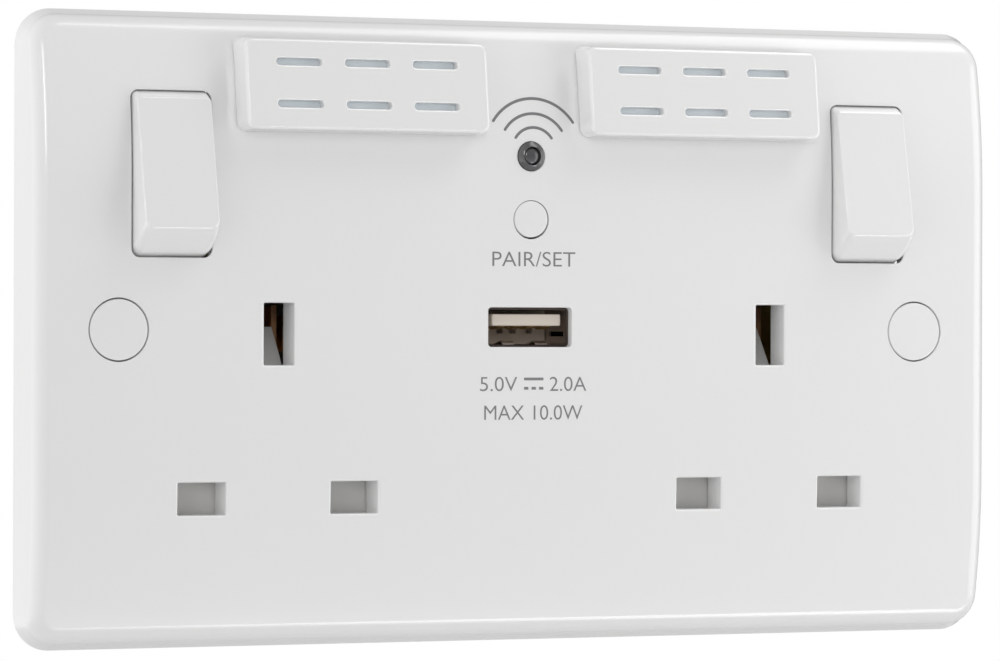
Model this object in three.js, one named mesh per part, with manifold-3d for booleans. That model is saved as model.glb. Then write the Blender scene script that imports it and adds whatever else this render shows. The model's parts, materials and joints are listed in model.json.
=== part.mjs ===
// A double wall socket with a wireless range extender and a USB charging port.
// Millimetres, +Z up. The wall is the plane Y = 0, the front looks towards -Y, and the
// origin is the plate's centre on the wall.
import * as THREE from 'three';
import { mergeVertices } from 'three/addons/utils/BufferGeometryUtils.js';
import Module from 'manifold-3d';

const wasm = await Module();
wasm.setup();

// ---------------------------------------------------------------- driving dimensions

const PLATE = {
  width: 146, height: 86, depth: 6.5, wall: 2.6, corner: 5.0,
  draft: 0.8, edgeAcross: 2.4, edgeDeep: 2.0, flatHalf: 20, bow: 0.0054,
};
const FACE = -PLATE.depth;
const INNER = FACE + PLATE.wall;

const FIXING_X = 60.3;
const CAP = { radius: 4.1, thick: 1.3, pocket: 4.3, pocketDeep: 1.5 };
const FIXING_SCREW = { head: 3.3, shank: 1.6, hole: 2.1, tip: 24 };

const SOCKET_X = 37.24;
const PIN_X = 11.1;
const EARTH = { z: -0.53, w: 4.44, h: 8.43 };
const SUPPLY = { z: -22.73, w: 6.92, h: 4.4 };
const APERTURE_BEVEL = 0.35;
const PAD_BACK = FACE + 4.3;

const ROCKER = {
  x: 52.75, z: 20.75, pivotDeep: 5.6, face: 8.13, sweep: 12.08,
  halfFace: 5.28, halfBase: 5.58, skirt: 1.6, tilt: THREE.MathUtils.degToRad(11.6),
  openingZ: 20.92, openingW: 11.6, openingH: 22.42, openingCorner: 1.15, clearSweep: 12.6,
};
const PIVOT_Y = FACE + ROCKER.pivotDeep;

const COVER = {
  x: 25.5, zLow: 26.85, zHigh: 39.55, halfW: 18, corner: 1.2,
  inset: 0.3, wall: 1.4, slotW: 6.5, slotH: 1.0, slotPitch: 10, rows: [30.5, 36.2],
};
const COVER_FRONT = { y: -9.78, z: 30.5, slope: 0.128 };

const BUTTON = { x: 0.1, z: 15.41, radius: 2.53, hole: 2.7 };
const LED = { x: 0.09, z: 24.1, radius: 2.0, hole: 2.15, rim: 1.25, lens: 1.1, proud: 0.45 };
const USB = { x: -0.03, z: 0.48, w: 12.6, h: 5.4, metal: 0.25, front: -5.35, back: 9.3, bevel: 1.4 };

const HOUSING = {
  rim: -2.9, front: 0.8, back: 27, wall: 1.8, halfW: 61, halfH: 31, waistW: 54.5, waistH: 9.5, corner: 2.5,
};
const BOSSES = [[-42.2, 20], [42.2, 20], [-56.4, -26.4], [56.4, -26.4]];
const BOSS = { plate: 2.4, tube: 3.4, bore: 2.7, hole: 1.5, pilot: 1.4, shoulder: 8 };

const METAL = 0.8;
const LIVE_Y = 13.3;
const NEUTRAL_Y = 15.2;
const REAR_STRAP_Y = 16.9;
const TERMINAL = { size: 7.5, back: 26.4, wire: 1.9, wireY: 20.6, bay: 5.7 };
const SEESAW = { y: 10.2, halfLength: 7.8, halfW: 1.8, contactZ: 6.5, tilt: 10 };

const POWER_BOARD = { y: 9.6, thick: 1.6, halfW: 20.5, zLow: -28.6, zHigh: 13.5 };
const WIFI_BOARD = { y: 2.0, thick: 1.2, halfW: 19, zLow: 10, zHigh: 28.6 };

const SIDES = [['left', -1], ['right', 1]];

// ---------------------------------------------------------------- solid helpers

function solidOf(geometry) {
  const bare = geometry.clone();
  bare.deleteAttribute('normal');
  bare.deleteAttribute('uv');
  const merged = mergeVertices(bare, 1e-4);
  return new wasm.Manifold(new wasm.Mesh({
    numProp: 3,
    vertProperties: new Float32Array(merged.attributes.position.array),
    triVerts: new Uint32Array(merged.index.array),
  }));
}

function geometryOf(solid) {
  const mesh = solid.getMesh();
  const geometry = new THREE.BufferGeometry();
  geometry.setAttribute('position', new THREE.BufferAttribute(new Float32Array(mesh.vertProperties), 3));
  geometry.setIndex(new THREE.BufferAttribute(new Uint32Array(mesh.triVerts), 1));
  const faceted = geometry.toNonIndexed();
  faceted.computeVertexNormals();
  return faceted;
}

function box(x0, x1, y0, y1, z0, z1) {
  const geometry = new THREE.BoxGeometry(x1 - x0, y1 - y0, z1 - z0);
  return solidOf(geometry.translate((x0 + x1) / 2, (y0 + y1) / 2, (z0 + z1) / 2));
}

// A cylinder along the Y axis, from y0 to y1, centred on (x, z).
function cylinderY(radius, y0, y1, x, z, sides = 24) {
  const geometry = new THREE.CylinderGeometry(radius, radius, y1 - y0, sides);
  return solidOf(geometry.translate(x, (y0 + y1) / 2, z));
}

function cylinderX(radius, x0, x1, y, z, sides = 24) {
  const geometry = new THREE.CylinderGeometry(radius, radius, x1 - x0, sides);
  geometry.rotateZ(Math.PI / 2);
  return solidOf(geometry.translate((x0 + x1) / 2, y, z));
}

function cylinderZ(radius, z0, z1, x, y, sides = 16) {
  const geometry = new THREE.CylinderGeometry(radius, radius, z1 - z0, sides);
  geometry.rotateX(Math.PI / 2);
  return solidOf(geometry.translate(x, y, (z0 + z1) / 2));
}

// A turned solid about the Y axis: profile points are [radius, y], from axis to axis.
function turned(profile, x, z, sides = 24) {
  const points = profile.map(([radius, y]) => new THREE.Vector2(radius, y));
  return solidOf(oriented(new THREE.LatheGeometry(points, sides)).translate(x, 0, z));
}

// Extrudes a shape drawn in (X, Z) from y0 to y1.
function alongY(shape, y0, y1, curveSegments = 6) {
  const geometry = new THREE.ExtrudeGeometry(shape, { depth: y1 - y0, bevelEnabled: false, curveSegments });
  geometry.rotateX(Math.PI / 2);
  return solidOf(geometry.translate(0, y1, 0));
}

// Extrudes a shape drawn in (Y, Z) from x0 to x1.
function alongX(shape, x0, x1, curveSegments = 6) {
  const geometry = new THREE.ExtrudeGeometry(shape, { depth: x1 - x0, bevelEnabled: false, curveSegments });
  const axes = new THREE.Matrix4().makeBasis(
    new THREE.Vector3(0, 1, 0), new THREE.Vector3(0, 0, 1), new THREE.Vector3(1, 0, 0));
  geometry.applyMatrix4(axes);
  return solidOf(geometry.translate(x0, 0, 0));
}

function polygon(points) {
  return new THREE.Shape(points.map(([u, v]) => new THREE.Vector2(u, v)));
}

function roundedRect(cx, cz, w, h, r) {
  const shape = new THREE.Shape();
  const [x0, x1, z0, z1] = [cx - w / 2, cx + w / 2, cz - h / 2, cz + h / 2];
  shape.moveTo(x0 + r, z0);
  shape.lineTo(x1 - r, z0);
  shape.absarc(x1 - r, z0 + r, r, -Math.PI / 2, 0);
  shape.lineTo(x1, z1 - r);
  shape.absarc(x1 - r, z1 - r, r, 0, Math.PI / 2);
  shape.lineTo(x0 + r, z1);
  shape.absarc(x0 + r, z1 - r, r, Math.PI / 2, Math.PI);
  shape.lineTo(x0, z0 + r);
  shape.absarc(x0 + r, z0 + r, r, Math.PI, Math.PI * 1.5);
  return shape;
}

// Turns a closed geometry's faces outwards.
function oriented(geometry) {
  const position = geometry.attributes.position;
  const index = geometry.index.array;
  const [a, b, c] = [new THREE.Vector3(), new THREE.Vector3(), new THREE.Vector3()];
  let volume = 0;
  for (let i = 0; i < index.length; i += 3) {
    a.fromBufferAttribute(position, index[i]);
    b.fromBufferAttribute(position, index[i + 1]);
    c.fromBufferAttribute(position, index[i + 2]);
    volume += a.dot(b.cross(c));
  }
  if (volume < 0) {
    for (let i = 0; i < index.length; i += 3) {
      [index[i], index[i + 1]] = [index[i + 1], index[i]];
    }
  }
  return geometry;
}

// One side-to-side symmetric outline as [x, z] points: up the right side from the bottom,
// then down the left, so point i and point (count - 1 - i) stand at the same height.
function outline({ cx = 0, halfW, zLow, zHigh, corner, stops = [], arc = 5 }) {
  const right = [];
  for (let i = 0; i <= arc; i += 1) {
    const t = -Math.PI / 2 + (Math.PI / 2) * (i / arc);
    right.push([halfW - corner + corner * Math.cos(t), zLow + corner + corner * Math.sin(t)]);
  }
  for (const z of stops) {
    right.push([halfW, z]);
  }
  for (let i = 0; i <= arc; i += 1) {
    const t = (Math.PI / 2) * (i / arc);
    right.push([halfW - corner + corner * Math.cos(t), zHigh - corner + corner * Math.sin(t)]);
  }
  const left = right.map(([x, z]) => [-x, z]).reverse();
  return [...right, ...left].map(([x, z]) => [cx + x, z]);
}

// Skins a stack of outlines, each a list of [x, y, z]; the ends are closed level by level.
function loft(rings) {
  const count = rings[0].length;
  const position = rings.flat(2);
  const index = [];
  for (let ring = 0; ring + 1 < rings.length; ring += 1) {
    for (let i = 0; i < count; i += 1) {
      const a = ring * count + i;
      const b = ring * count + ((i + 1) % count);
      index.push(a, b, b + count, a, b + count, a + count);
    }
  }
  const last = (rings.length - 1) * count;
  for (let i = 0; i + 1 < count / 2; i += 1) {
    const [a, b, c, d] = [i, i + 1, count - 2 - i, count - 1 - i];
    index.push(a, c, b, a, d, c);
    index.push(last + a, last + b, last + c, last + a, last + c, last + d);
  }
  const geometry = new THREE.BufferGeometry();
  geometry.setAttribute('position', new THREE.Float32BufferAttribute(position, 3));
  geometry.setIndex(index);
  return solidOf(oriented(geometry));
}

class Helix extends THREE.Curve {
  constructor(radius, length, turns) {
    super();
    Object.assign(this, { radius, length, turns });
  }

  getPoint(t, target = new THREE.Vector3()) {
    const turn = 2 * Math.PI * this.turns * t;
    return target.set(this.radius * Math.cos(turn), this.radius * Math.sin(turn), this.length * t);
  }
}

// A coil spring that stands on Z = 0.
function coilSpring(radius, wire, length, turns) {
  const section = new THREE.Shape();
  section.absarc(0, 0, wire, 0, 2 * Math.PI);
  const path = new Helix(radius, length - 2 * wire, turns);
  const geometry = new THREE.ExtrudeGeometry(section, {
    steps: turns * 7, curveSegments: 3, extrudePath: path, bevelEnabled: false,
  });
  return solidOf(geometry.translate(0, 0, wire));
}

const object = new THREE.Group();
object.name = 'double_socket_range_extender';

const LOOKS = {
  white: { color: 0xe9e9e8, roughness: 0.35, metalness: 0 },
  dark: { color: 0x55565a, roughness: 0.4, metalness: 0 },
  backing: { color: 0xd9d9d4, roughness: 0.6, metalness: 0 },
  shutter: { color: 0xb4b3b0, roughness: 0.5, metalness: 0 },
  film: { color: 0xc5d0d8, roughness: 0.3, metalness: 0 },
  board: { color: 0x1d5a3a, roughness: 0.5, metalness: 0 },
  chip: { color: 0x17181a, roughness: 0.5, metalness: 0 },
  cream: { color: 0xe2d9cc, roughness: 0.5, metalness: 0 },
  tape: { color: 0xcaa53a, roughness: 0.5, metalness: 0 },
  sleeve: { color: 0x1f3a66, roughness: 0.4, metalness: 0 },
  steel: { color: 0xb9bbbf, roughness: 0.3, metalness: 1 },
  brass: { color: 0xc09a4c, roughness: 0.35, metalness: 1 },
  copper: { color: 0xb06a3c, roughness: 0.35, metalness: 1 },
  gold: { color: 0xc9a24a, roughness: 0.3, metalness: 1 },
};

function place(name, solid, look, parent = object) {
  const mesh = new THREE.Mesh(geometryOf(solid), new THREE.MeshStandardMaterial(LOOKS[look]));
  mesh.name = name;
  parent.add(mesh);
  return mesh;
}

// ---------------------------------------------------------------- front plate

// How far the face has curved back towards the wall at height z.
function faceDrop(z) {
  const past = Math.max(0, Math.abs(z) - PLATE.flatHalf);
  return PLATE.bow * past * past;
}

const BOW_STOPS = [-35, -30, -25, -20, 20, 25, 30, 35];

function plateRing(inset, yOf) {
  const points = outline({
    halfW: PLATE.width / 2 - inset,
    zLow: -PLATE.height / 2 + inset,
    zHigh: PLATE.height / 2 - inset,
    corner: PLATE.corner - inset,
    stops: BOW_STOPS,
    arc: 4,
  });
  return points.map(([x, z]) => [x, yOf(z), z]);
}

function plateBody() {
  const rings = [plateRing(0, () => 0)];
  const steps = 4;
  for (let i = 0; i <= steps; i += 1) {
    const t = (Math.PI / 2) * (i / steps);
    const inset = PLATE.draft + PLATE.edgeAcross * (1 - Math.cos(t));
    const deep = PLATE.edgeDeep * (1 - Math.sin(t));
    rings.push(plateRing(inset, (z) => FACE + faceDrop(z) + deep));
  }
  return loft(rings);
}

// The hollow behind the face, with the same wall all over.
function plateHollow() {
  const rimWall = 3.6;
  const zEnd = PLATE.height / 2 - rimWall;
  const heights = [-zEnd, ...BOW_STOPS, zEnd];
  const profile = heights.map((z) => [INNER + faceDrop(z), z]);
  profile.push([1, zEnd], [1, -zEnd]);
  const xEnd = PLATE.width / 2 - rimWall;
  return alongX(polygon(profile), -xEnd, xEnd);
}

function rectRing(cx, cz, w, h, y) {
  return outline({ cx, halfW: w / 2, zLow: cz - h / 2, zHigh: cz + h / 2, corner: 0.2, arc: 2 })
    .map(([x, z]) => [x, y, z]);
}

// A square hole with a bevelled mouth.
function aperture(cx, cz, w, h, back, bevel = APERTURE_BEVEL) {
  const flare = 2 * bevel + 0.4;
  return loft([
    rectRing(cx, cz, w + flare, h + flare, FACE - 0.2),
    rectRing(cx, cz, w, h, FACE + bevel),
    rectRing(cx, cz, w, h, back),
  ]);
}

function fixingBore(x) {
  return turned([
    [0, FACE - 1], [CAP.pocket, FACE - 1], [CAP.pocket, FACE + CAP.pocketDeep],
    [FIXING_SCREW.head + 0.35, FACE + CAP.pocketDeep], [FIXING_SCREW.head + 0.35, -3.3],
    [FIXING_SCREW.hole, -1.9], [FIXING_SCREW.hole, 1], [0, 1],
  ], x, 0, 24);
}

function rockerOpening(x) {
  const straight = alongY(
    roundedRect(x, ROCKER.openingZ, ROCKER.openingW, ROCKER.openingH, ROCKER.openingCorner), FACE - 1, INNER + 1);
  const sweep = cylinderX(ROCKER.clearSweep, x - ROCKER.openingW / 2, x + ROCKER.openingW / 2,
    PIVOT_Y, ROCKER.z, 64);
  const behindFace = box(x - 10, x + 10, FACE + 0.3, 1, ROCKER.z - 14, ROCKER.z)
    .add(box(x - 10, x + 10, FACE + 0.98, 1, ROCKER.z, ROCKER.z + 14));
  return straight.add(sweep.intersect(behindFace));
}

// Two forks behind the plate that carry a rocker's trunnions.
function rockerForks(x) {
  const gap = 6.1;
  const thick = 1.5;
  const fork = (x0) => box(x0, x0 + thick, INNER - 0.8, 0.3, ROCKER.z - 2.9, ROCKER.z + 2.9)
    .subtract(cylinderX(1.5, x0 - 1, x0 + thick + 1, PIVOT_Y, ROCKER.z))
    .subtract(box(x0 - 1, x0 + thick + 1, PIVOT_Y, 1, ROCKER.z - 1.25, ROCKER.z + 1.25));
  return fork(x + gap).add(fork(x - gap - thick));
}

function coverSeat(cx) {
  const legs = [-14.5, 14.5].map((dx) => box(cx + dx - 1.4, cx + dx + 1.4, FACE - 1, 1, 32.1, 34.3));
  const window = box(cx - 6, cx + 6, FACE - 1, 1, 31, 35.4);
  return legs.reduce((all, leg) => all.add(leg), window);
}

function frontPlate() {
  let plate = plateBody().subtract(plateHollow());
  for (const [, side] of SIDES) {
    const x = side * SOCKET_X;
    const supplyPad = box(x - 16.8, x + 16.8, INNER - 1, PAD_BACK, -27.2, -18.3);
    const earthPad = box(x - 4.6, x + 4.6, INNER - 1, PAD_BACK, -7.2, 6.2);
    plate = plate.add(supplyPad).add(earthPad);
    plate = plate.add(cylinderY(5.5, INNER - 1, -0.2, side * FIXING_X, 0, 24));
    plate = plate.add(rockerForks(side * ROCKER.x));
  }
  for (const [x, z] of BOSSES) {
    plate = plate.add(cylinderY(BOSS.plate, INNER - 0.8, HOUSING.front - 0.3, x, z));
  }
  for (const [, side] of SIDES) {
    const x = side * SOCKET_X;
    plate = plate.subtract(aperture(x, EARTH.z, EARTH.w, EARTH.h, PAD_BACK + 1));
    plate = plate.subtract(aperture(x - PIN_X, SUPPLY.z, SUPPLY.w, SUPPLY.h, PAD_BACK + 1));
    plate = plate.subtract(aperture(x + PIN_X, SUPPLY.z, SUPPLY.w, SUPPLY.h, PAD_BACK + 1));
    plate = plate.subtract(fixingBore(side * FIXING_X));
    plate = plate.subtract(rockerOpening(side * ROCKER.x));
    plate = plate.subtract(coverSeat(side * COVER.x));
  }
  for (const [x, z] of BOSSES) {
    plate = plate.subtract(cylinderY(BOSS.pilot, INNER + 0.4, HOUSING.front, x, z, 16));
  }
  plate = plate.subtract(cylinderY(BUTTON.hole, FACE - 1, 0, BUTTON.x, BUTTON.z, 24));
  plate = plate.subtract(cylinderY(LED.hole, FACE - 1, 0, LED.x, LED.z, 24));
  const mouth = loft([
    rectRing(USB.x, USB.z, USB.w + 2 * USB.bevel + 0.4, USB.h + 2 * USB.bevel + 0.4, FACE - 0.1),
    rectRing(USB.x, USB.z, USB.w + 0.3, USB.h + 0.3, FACE + 0.5),
    rectRing(USB.x, USB.z, USB.w + 0.3, USB.h + 0.3, 0),
  ]);
  return plate.subtract(mouth);
}

place('front_plate', frontPlate(), 'white');

// ---------------------------------------------------------------- fixing screws and caps

function crossRecess(x, y, z, span, deep) {
  const blade = 0.8;
  const upright = box(x - blade / 2, x + blade / 2, y - 1, y + deep, z - span, z + span);
  return upright.add(box(x - span, x + span, y - 1, y + deep, z - blade / 2, z + blade / 2));
}

for (const [name, side] of SIDES) {
  const x = side * FIXING_X;
  const cap = turned([
    [0, FACE + CAP.thick - 0.5], [2.6, FACE + CAP.thick - 0.5], [2.6, FACE + CAP.thick + 0.25],
    [3.3, FACE + CAP.thick + 0.25], [3.3, FACE + CAP.thick], [CAP.radius, FACE + CAP.thick],
    [CAP.radius, FACE + 0.15], [CAP.radius - 0.15, FACE], [0, FACE],
  ], x, 0, 24);
  place(`screw_cap_${name}`, cap, 'white');

  const headTop = -4.6;
  const screw = turned([
    [0, headTop], [FIXING_SCREW.head, headTop], [FIXING_SCREW.head, -3.7],
    [FIXING_SCREW.shank, -2.2], [FIXING_SCREW.shank, FIXING_SCREW.tip - 1.2],
    [0.7, FIXING_SCREW.tip], [0, FIXING_SCREW.tip],
  ], x, 0, 24);
  place(`fixing_screw_${name}`, screw.subtract(crossRecess(x, headTop, 0, 1.9, 1.2)), 'steel');
}

// ---------------------------------------------------------------- rocker switches
// A rocker is drawn about its own pivot, with its face square to -Y, and then turned to
// the off position: top pressed in, bottom standing out.

function rockerRing(y, inset, corner) {
  const t = (ROCKER.face + y) / (ROCKER.face - ROCKER.skirt);
  const halfW = ROCKER.halfFace + (ROCKER.halfBase - ROCKER.halfFace) * Math.min(1, Math.max(0, t / 0.32));
  const halfL = Math.sqrt(ROCKER.sweep ** 2 - y ** 2);
  return outline({
    halfW: halfW - inset, zLow: -halfL + inset, zHigh: halfL - inset, corner, arc: 4,
  }).map(([x, z]) => [x, y, z]);
}

function rockerBody() {
  const edge = 0.3;
  const rings = [-ROCKER.skirt, -3.6, -4.8, -6.04, -7, -ROCKER.face + edge].map((y) => rockerRing(y, 0, 1.3));
  for (const t of [Math.PI / 6, Math.PI / 3, Math.PI / 2]) {
    const y = -ROCKER.face + edge * (1 - Math.sin(t));
    rings.push(rockerRing(y, edge * (1 - Math.cos(t)), 1.3 - edge * (1 - Math.cos(t))));
  }
  let body = loft(rings).subtract(box(-4.2, 4.2, -6.6, 0, -8.6, 8.6));
  for (const side of [-1, 1]) {
    const [x0, x1] = side > 0 ? [4.1, 5.4] : [-5.4, -4.1];
    body = body.add(box(x0, x1, -4, 1.7, -2.2, 2.2));
    const [p0, p1] = side > 0 ? [5.2, 7.3] : [-7.3, -5.2];
    body = body.add(cylinderX(1.2, p0, p1, 0, 0, 20));
  }
  body = body.add(cylinderY(2.5, -7, 4.5, 0, 0));
  return body.subtract(cylinderY(1.75, -5.5, 5, 0, 0));
}

function plunger() {
  const [radius, base, tip] = [1.4, 1.2, 9.7];
  const profile = [[0, base], [radius, base], [radius, tip - radius]];
  for (const t of [Math.PI / 6, Math.PI / 3, Math.PI / 2]) {
    profile.push([Math.max(0, radius * Math.cos(t)), tip - radius + radius * Math.sin(t)]);
  }
  profile[profile.length - 1][0] = 0;
  return turned(profile, 0, 0, 20);
}

// The see-saw contact that the plunger tips over, drawn about the knife edge it rocks on.
function seesaw() {
  const strip = box(-SEESAW.halfW, SEESAW.halfW, -1, -0.2, -SEESAW.halfLength, SEESAW.halfLength);
  const rivet = cylinderY(1.3, -0.4, 0.8, 0, SEESAW.contactZ, 20);
  return strip.add(rivet);
}

for (const [name, side] of SIDES) {
  const rocker = new THREE.Group();
  rocker.position.set(side * ROCKER.x, PIVOT_Y, ROCKER.z);
  rocker.rotation.x = -ROCKER.tilt;
  object.add(rocker);
  place(`rocker_${name}`, rockerBody(), 'white', rocker);
  place(`plunger_${name}`, plunger(), 'backing', rocker);
  const spring = place(`plunger_spring_${name}`, coilSpring(1.15, 0.28, 6.2, 4), 'steel', rocker);
  spring.rotation.x = -Math.PI / 2;
  spring.position.y = -5.3;

  const contact = place(`moving_contact_${name}`, seesaw(), 'copper');
  contact.position.set(side * ROCKER.x, SEESAW.y, ROCKER.z);
  contact.rotation.x = THREE.MathUtils.degToRad(SEESAW.tilt);
}

// ---------------------------------------------------------------- switch and pin contacts

// Two leaves that grip a flat pin from above and below, joined behind it.
function supplyGrip(x, webY) {
  const halfW = 3.0;
  const gap = 2.1;
  const leaf = polygon([
    [webY + 0.2, gap], [3.2, gap - 0.15], [1.0, gap + 0.5], [1.0, gap + 0.5 + METAL],
    [3.2, gap - 0.15 + METAL], [webY + 0.2, gap + METAL],
  ]);
  const upper = alongX(leaf, x - halfW, x + halfW);
  const web = box(x - halfW, x + halfW, webY, webY + METAL, -gap - METAL, gap + METAL);
  return upper.add(upper.mirror([0, 0, 1])).add(web).translate([0, 0, SUPPLY.z]);
}

function liveContact(side) {
  const pinX = side * SOCKET_X + PIN_X;
  const riserX = side * ROCKER.x - side * 4.2;
  const back = LIVE_Y + METAL;
  const zRun = 12.5;
  let strip = supplyGrip(pinX, LIVE_Y);
  strip = strip.add(box(pinX - 2.5, pinX + 2.5, LIVE_Y, back, SUPPLY.z, zRun + 2.5));
  strip = strip.add(box(Math.min(pinX, riserX) - 1.7, Math.max(pinX, riserX) + 1.7,
    LIVE_Y, back, zRun - 2.5, zRun + 2.5));
  strip = strip.add(box(riserX - 1.7, riserX + 1.7, LIVE_Y, back, zRun, 28.9));
  const padX = side * ROCKER.x;
  const padZ = ROCKER.z + SEESAW.contactZ;
  strip = strip.add(box(Math.min(riserX, padX) - 1.7, Math.max(riserX, padX) + 1.7, LIVE_Y, back,
    padZ - 1.6, 28.9));
  return strip.add(cylinderY(1.4, 12.5, LIVE_Y + 0.2, padX, padZ, 20));
}

place('live_contact_left', liveContact(-1), 'brass');
place('live_contact_right', liveContact(1), 'brass');

function neutralStrap() {
  const [xA, xB] = [-SOCKET_X - PIN_X, SOCKET_X - PIN_X];
  const bar = box(xA - 3, xB + 3, NEUTRAL_Y, NEUTRAL_Y + METAL, -28, -22.6);
  return supplyGrip(xA, NEUTRAL_Y).add(supplyGrip(xB, NEUTRAL_Y)).add(bar);
}

place('neutral_strap', neutralStrap(), 'brass');

// One bar with a pair of leaves behind each earth aperture.
function earthStrap() {
  const gap = 2.1;
  let strap = box(-SOCKET_X - 3.2, SOCKET_X + 3.2, REAR_STRAP_Y, REAR_STRAP_Y + METAL, -3, 2);
  for (const [, side] of SIDES) {
    const x = side * SOCKET_X;
    const leaf = new THREE.Shape([[REAR_STRAP_Y + 0.2, gap], [5.2, gap - 0.1], [2.8, gap + 0.3],
      [2.8, gap + 0.3 + METAL], [5.2, gap - 0.1 + METAL], [REAR_STRAP_Y + 0.2, gap + METAL]]
      .map(([y, dx]) => new THREE.Vector2(dx, y)));
    const geometry = new THREE.ExtrudeGeometry(leaf, { depth: 7.4, bevelEnabled: false });
    const right = solidOf(geometry).translate([0, 0, -4.0]);
    const left = right.mirror([1, 0, 0]);
    strap = strap.add(right.add(left).translate([x, 0, 0]));
  }
  return strap;
}

place('earth_strap', earthStrap(), 'copper');

// The supply bar ends in two arms whose knife edges carry the see-saws.
function lineStrap() {
  const back = REAR_STRAP_Y + METAL;
  const tip = SEESAW.y + 0.15;
  let strap = box(-ROCKER.x - SEESAW.halfW, ROCKER.x + SEESAW.halfW, REAR_STRAP_Y, back, 24.2, 28.4);
  const arm = polygon([
    [back, 26], [back, ROCKER.z - 1.5], [13, ROCKER.z - 1.5], [tip, ROCKER.z - 0.1], [tip, ROCKER.z + 0.1],
    [13, ROCKER.z + 1.5], [REAR_STRAP_Y, ROCKER.z + 1.5], [REAR_STRAP_Y, 26],
  ]);
  for (const [, side] of SIDES) {
    const x = side * ROCKER.x;
    strap = strap.add(alongX(arm, x - SEESAW.halfW, x + SEESAW.halfW));
  }
  return strap;
}

place('line_strap', lineStrap(), 'brass');

// ---------------------------------------------------------------- terminals

const TERMINALS = [
  { name: 'line', x: 28, z: 24.9, front: REAR_STRAP_Y + METAL + 0.1, bay: -1 },
  { name: 'neutral', x: 6, z: -24.6, front: NEUTRAL_Y + METAL + 0.1, bay: 1 },
  { name: 'earth_left', x: -18, z: -0.5, front: REAR_STRAP_Y + METAL + 0.1, bay: -1 },
  { name: 'earth_right', x: 18, z: -0.5, front: REAR_STRAP_Y + METAL + 0.1, bay: -1 },
];

for (const { name, x, z, front } of TERMINALS) {
  const half = TERMINAL.size / 2;
  const block = box(x - half, x + half, front, TERMINAL.back, z - half, z + half)
    .subtract(cylinderZ(TERMINAL.wire, z - half - 1, z + half + 1, x, TERMINAL.wireY))
    .subtract(cylinderY(2.05, TERMINAL.wireY, TERMINAL.back + 1, x, z, 20));
  place(`terminal_${name}`, block, 'brass');
  const screw = cylinderY(1.8, TERMINAL.wireY + 1, TERMINAL.back - 0.2, x, z, 20)
    .subtract(box(x - 0.35, x + 0.35, TERMINAL.back - 1.2, TERMINAL.back + 1, z - 3, z + 3));
  place(`terminal_screw_${name}`, screw, 'steel');
}

// ---------------------------------------------------------------- safety shutters

function shutter(x) {
  const [front, back] = [PAD_BACK + 0.25, -0.2];
  const blades = box(x - 15.2, x + 15.2, front, back, -25.9, -19.6);
  const stem = box(x - 3, x + 3, front, back, -20, -5.6);
  const ramp = alongX(polygon([[front, -5.7], [front, -4.9], [-1.5, -4.7], [2.4, 0.9], [2.4, -5.7]]),
    x - 2.7, x + 2.7);
  const lug = box(x - 2.7, x + 2.7, back - 0.5, 5.3, -7.2, -5.6);
  return blades.add(stem).add(ramp).add(lug);
}

const SHUTTER_SPRING = { y: 3.1, zLow: -19.2, length: 11.8 };

for (const [name, side] of SIDES) {
  const x = side * SOCKET_X;
  place(`shutter_${name}`, shutter(x), 'shutter');
  const spring = place(`shutter_spring_${name}`, coilSpring(1.6, 0.3, SHUTTER_SPRING.length, 5), 'steel');
  spring.position.set(x, SHUTTER_SPRING.y, SHUTTER_SPRING.zLow);
}

// ---------------------------------------------------------------- antenna covers

function coverFront(z) {
  return COVER_FRONT.y + COVER_FRONT.slope * (z - COVER_FRONT.z);
}

function coverRing(cx, inset, yOf) {
  return outline({
    cx,
    halfW: COVER.halfW - inset,
    zLow: COVER.zLow + inset,
    zHigh: COVER.zHigh - inset,
    corner: COVER.corner - inset * 0.3,
    stops: [30, 35],
    arc: 3,
  }).map(([x, z]) => [x, yOf(z), z]);
}

// The shell stands on the curved face, 0.1 clear of it.
function antennaCover(cx) {
  const foot = (z) => FACE + faceDrop(z) - 0.1;
  const edge = 0.45;
  let shell = loft([
    coverRing(cx, 0, foot),
    coverRing(cx, 0.1, (z) => foot(z) - 0.6),
    coverRing(cx, COVER.inset - 0.15, (z) => coverFront(z) + edge),
    coverRing(cx, COVER.inset + 0.1, (z) => coverFront(z) + edge * 0.3),
    coverRing(cx, COVER.inset + edge, coverFront),
  ]);
  const inner = polygon([
    [coverFront(COVER.zLow + 1.9) + COVER.wall, COVER.zLow + 1.9],
    [coverFront(COVER.zHigh - 1.9) + COVER.wall, COVER.zHigh - 1.9],
    [-2, COVER.zHigh - 1.9], [-2, COVER.zLow + 1.9],
  ]);
  shell = shell.subtract(alongX(inner, cx - COVER.halfW + 1.9, cx + COVER.halfW - 1.9));
  for (const dx of [-14.5, 14.5]) {
    const leg = box(cx + dx - 1, cx + dx + 1, coverFront(33) + 1, -1.9, 32.5, 33.9);
    const barb = alongX(polygon([[-2.8, 31.6], [-2.8, 33], [-1.9, 33], [-1.9, 32.3]]),
      cx + dx - 1, cx + dx + 1);
    shell = shell.add(leg).add(barb);
  }
  for (const z of COVER.rows) {
    for (const step of [-1, 0, 1]) {
      const slot = roundedRect(cx + step * COVER.slotPitch, z, COVER.slotW, COVER.slotH, COVER.slotH / 2 - 0.01);
      shell = shell.subtract(alongY(slot, -12, coverFront(z) + COVER.wall + 0.8, 3));
    }
  }
  return shell;
}

// A flat sheet that lies behind the cover's front, between two depths below it.
function behindCover(cx, halfW, zLow, zHigh, deep, thick) {
  const [low, high] = [coverFront(zLow) + deep, coverFront(zHigh) + deep];
  const sheet = polygon([[low, zLow], [high, zHigh], [high + thick, zHigh], [low + thick, zLow]]);
  return alongX(sheet, cx - halfW, cx + halfW);
}

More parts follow.
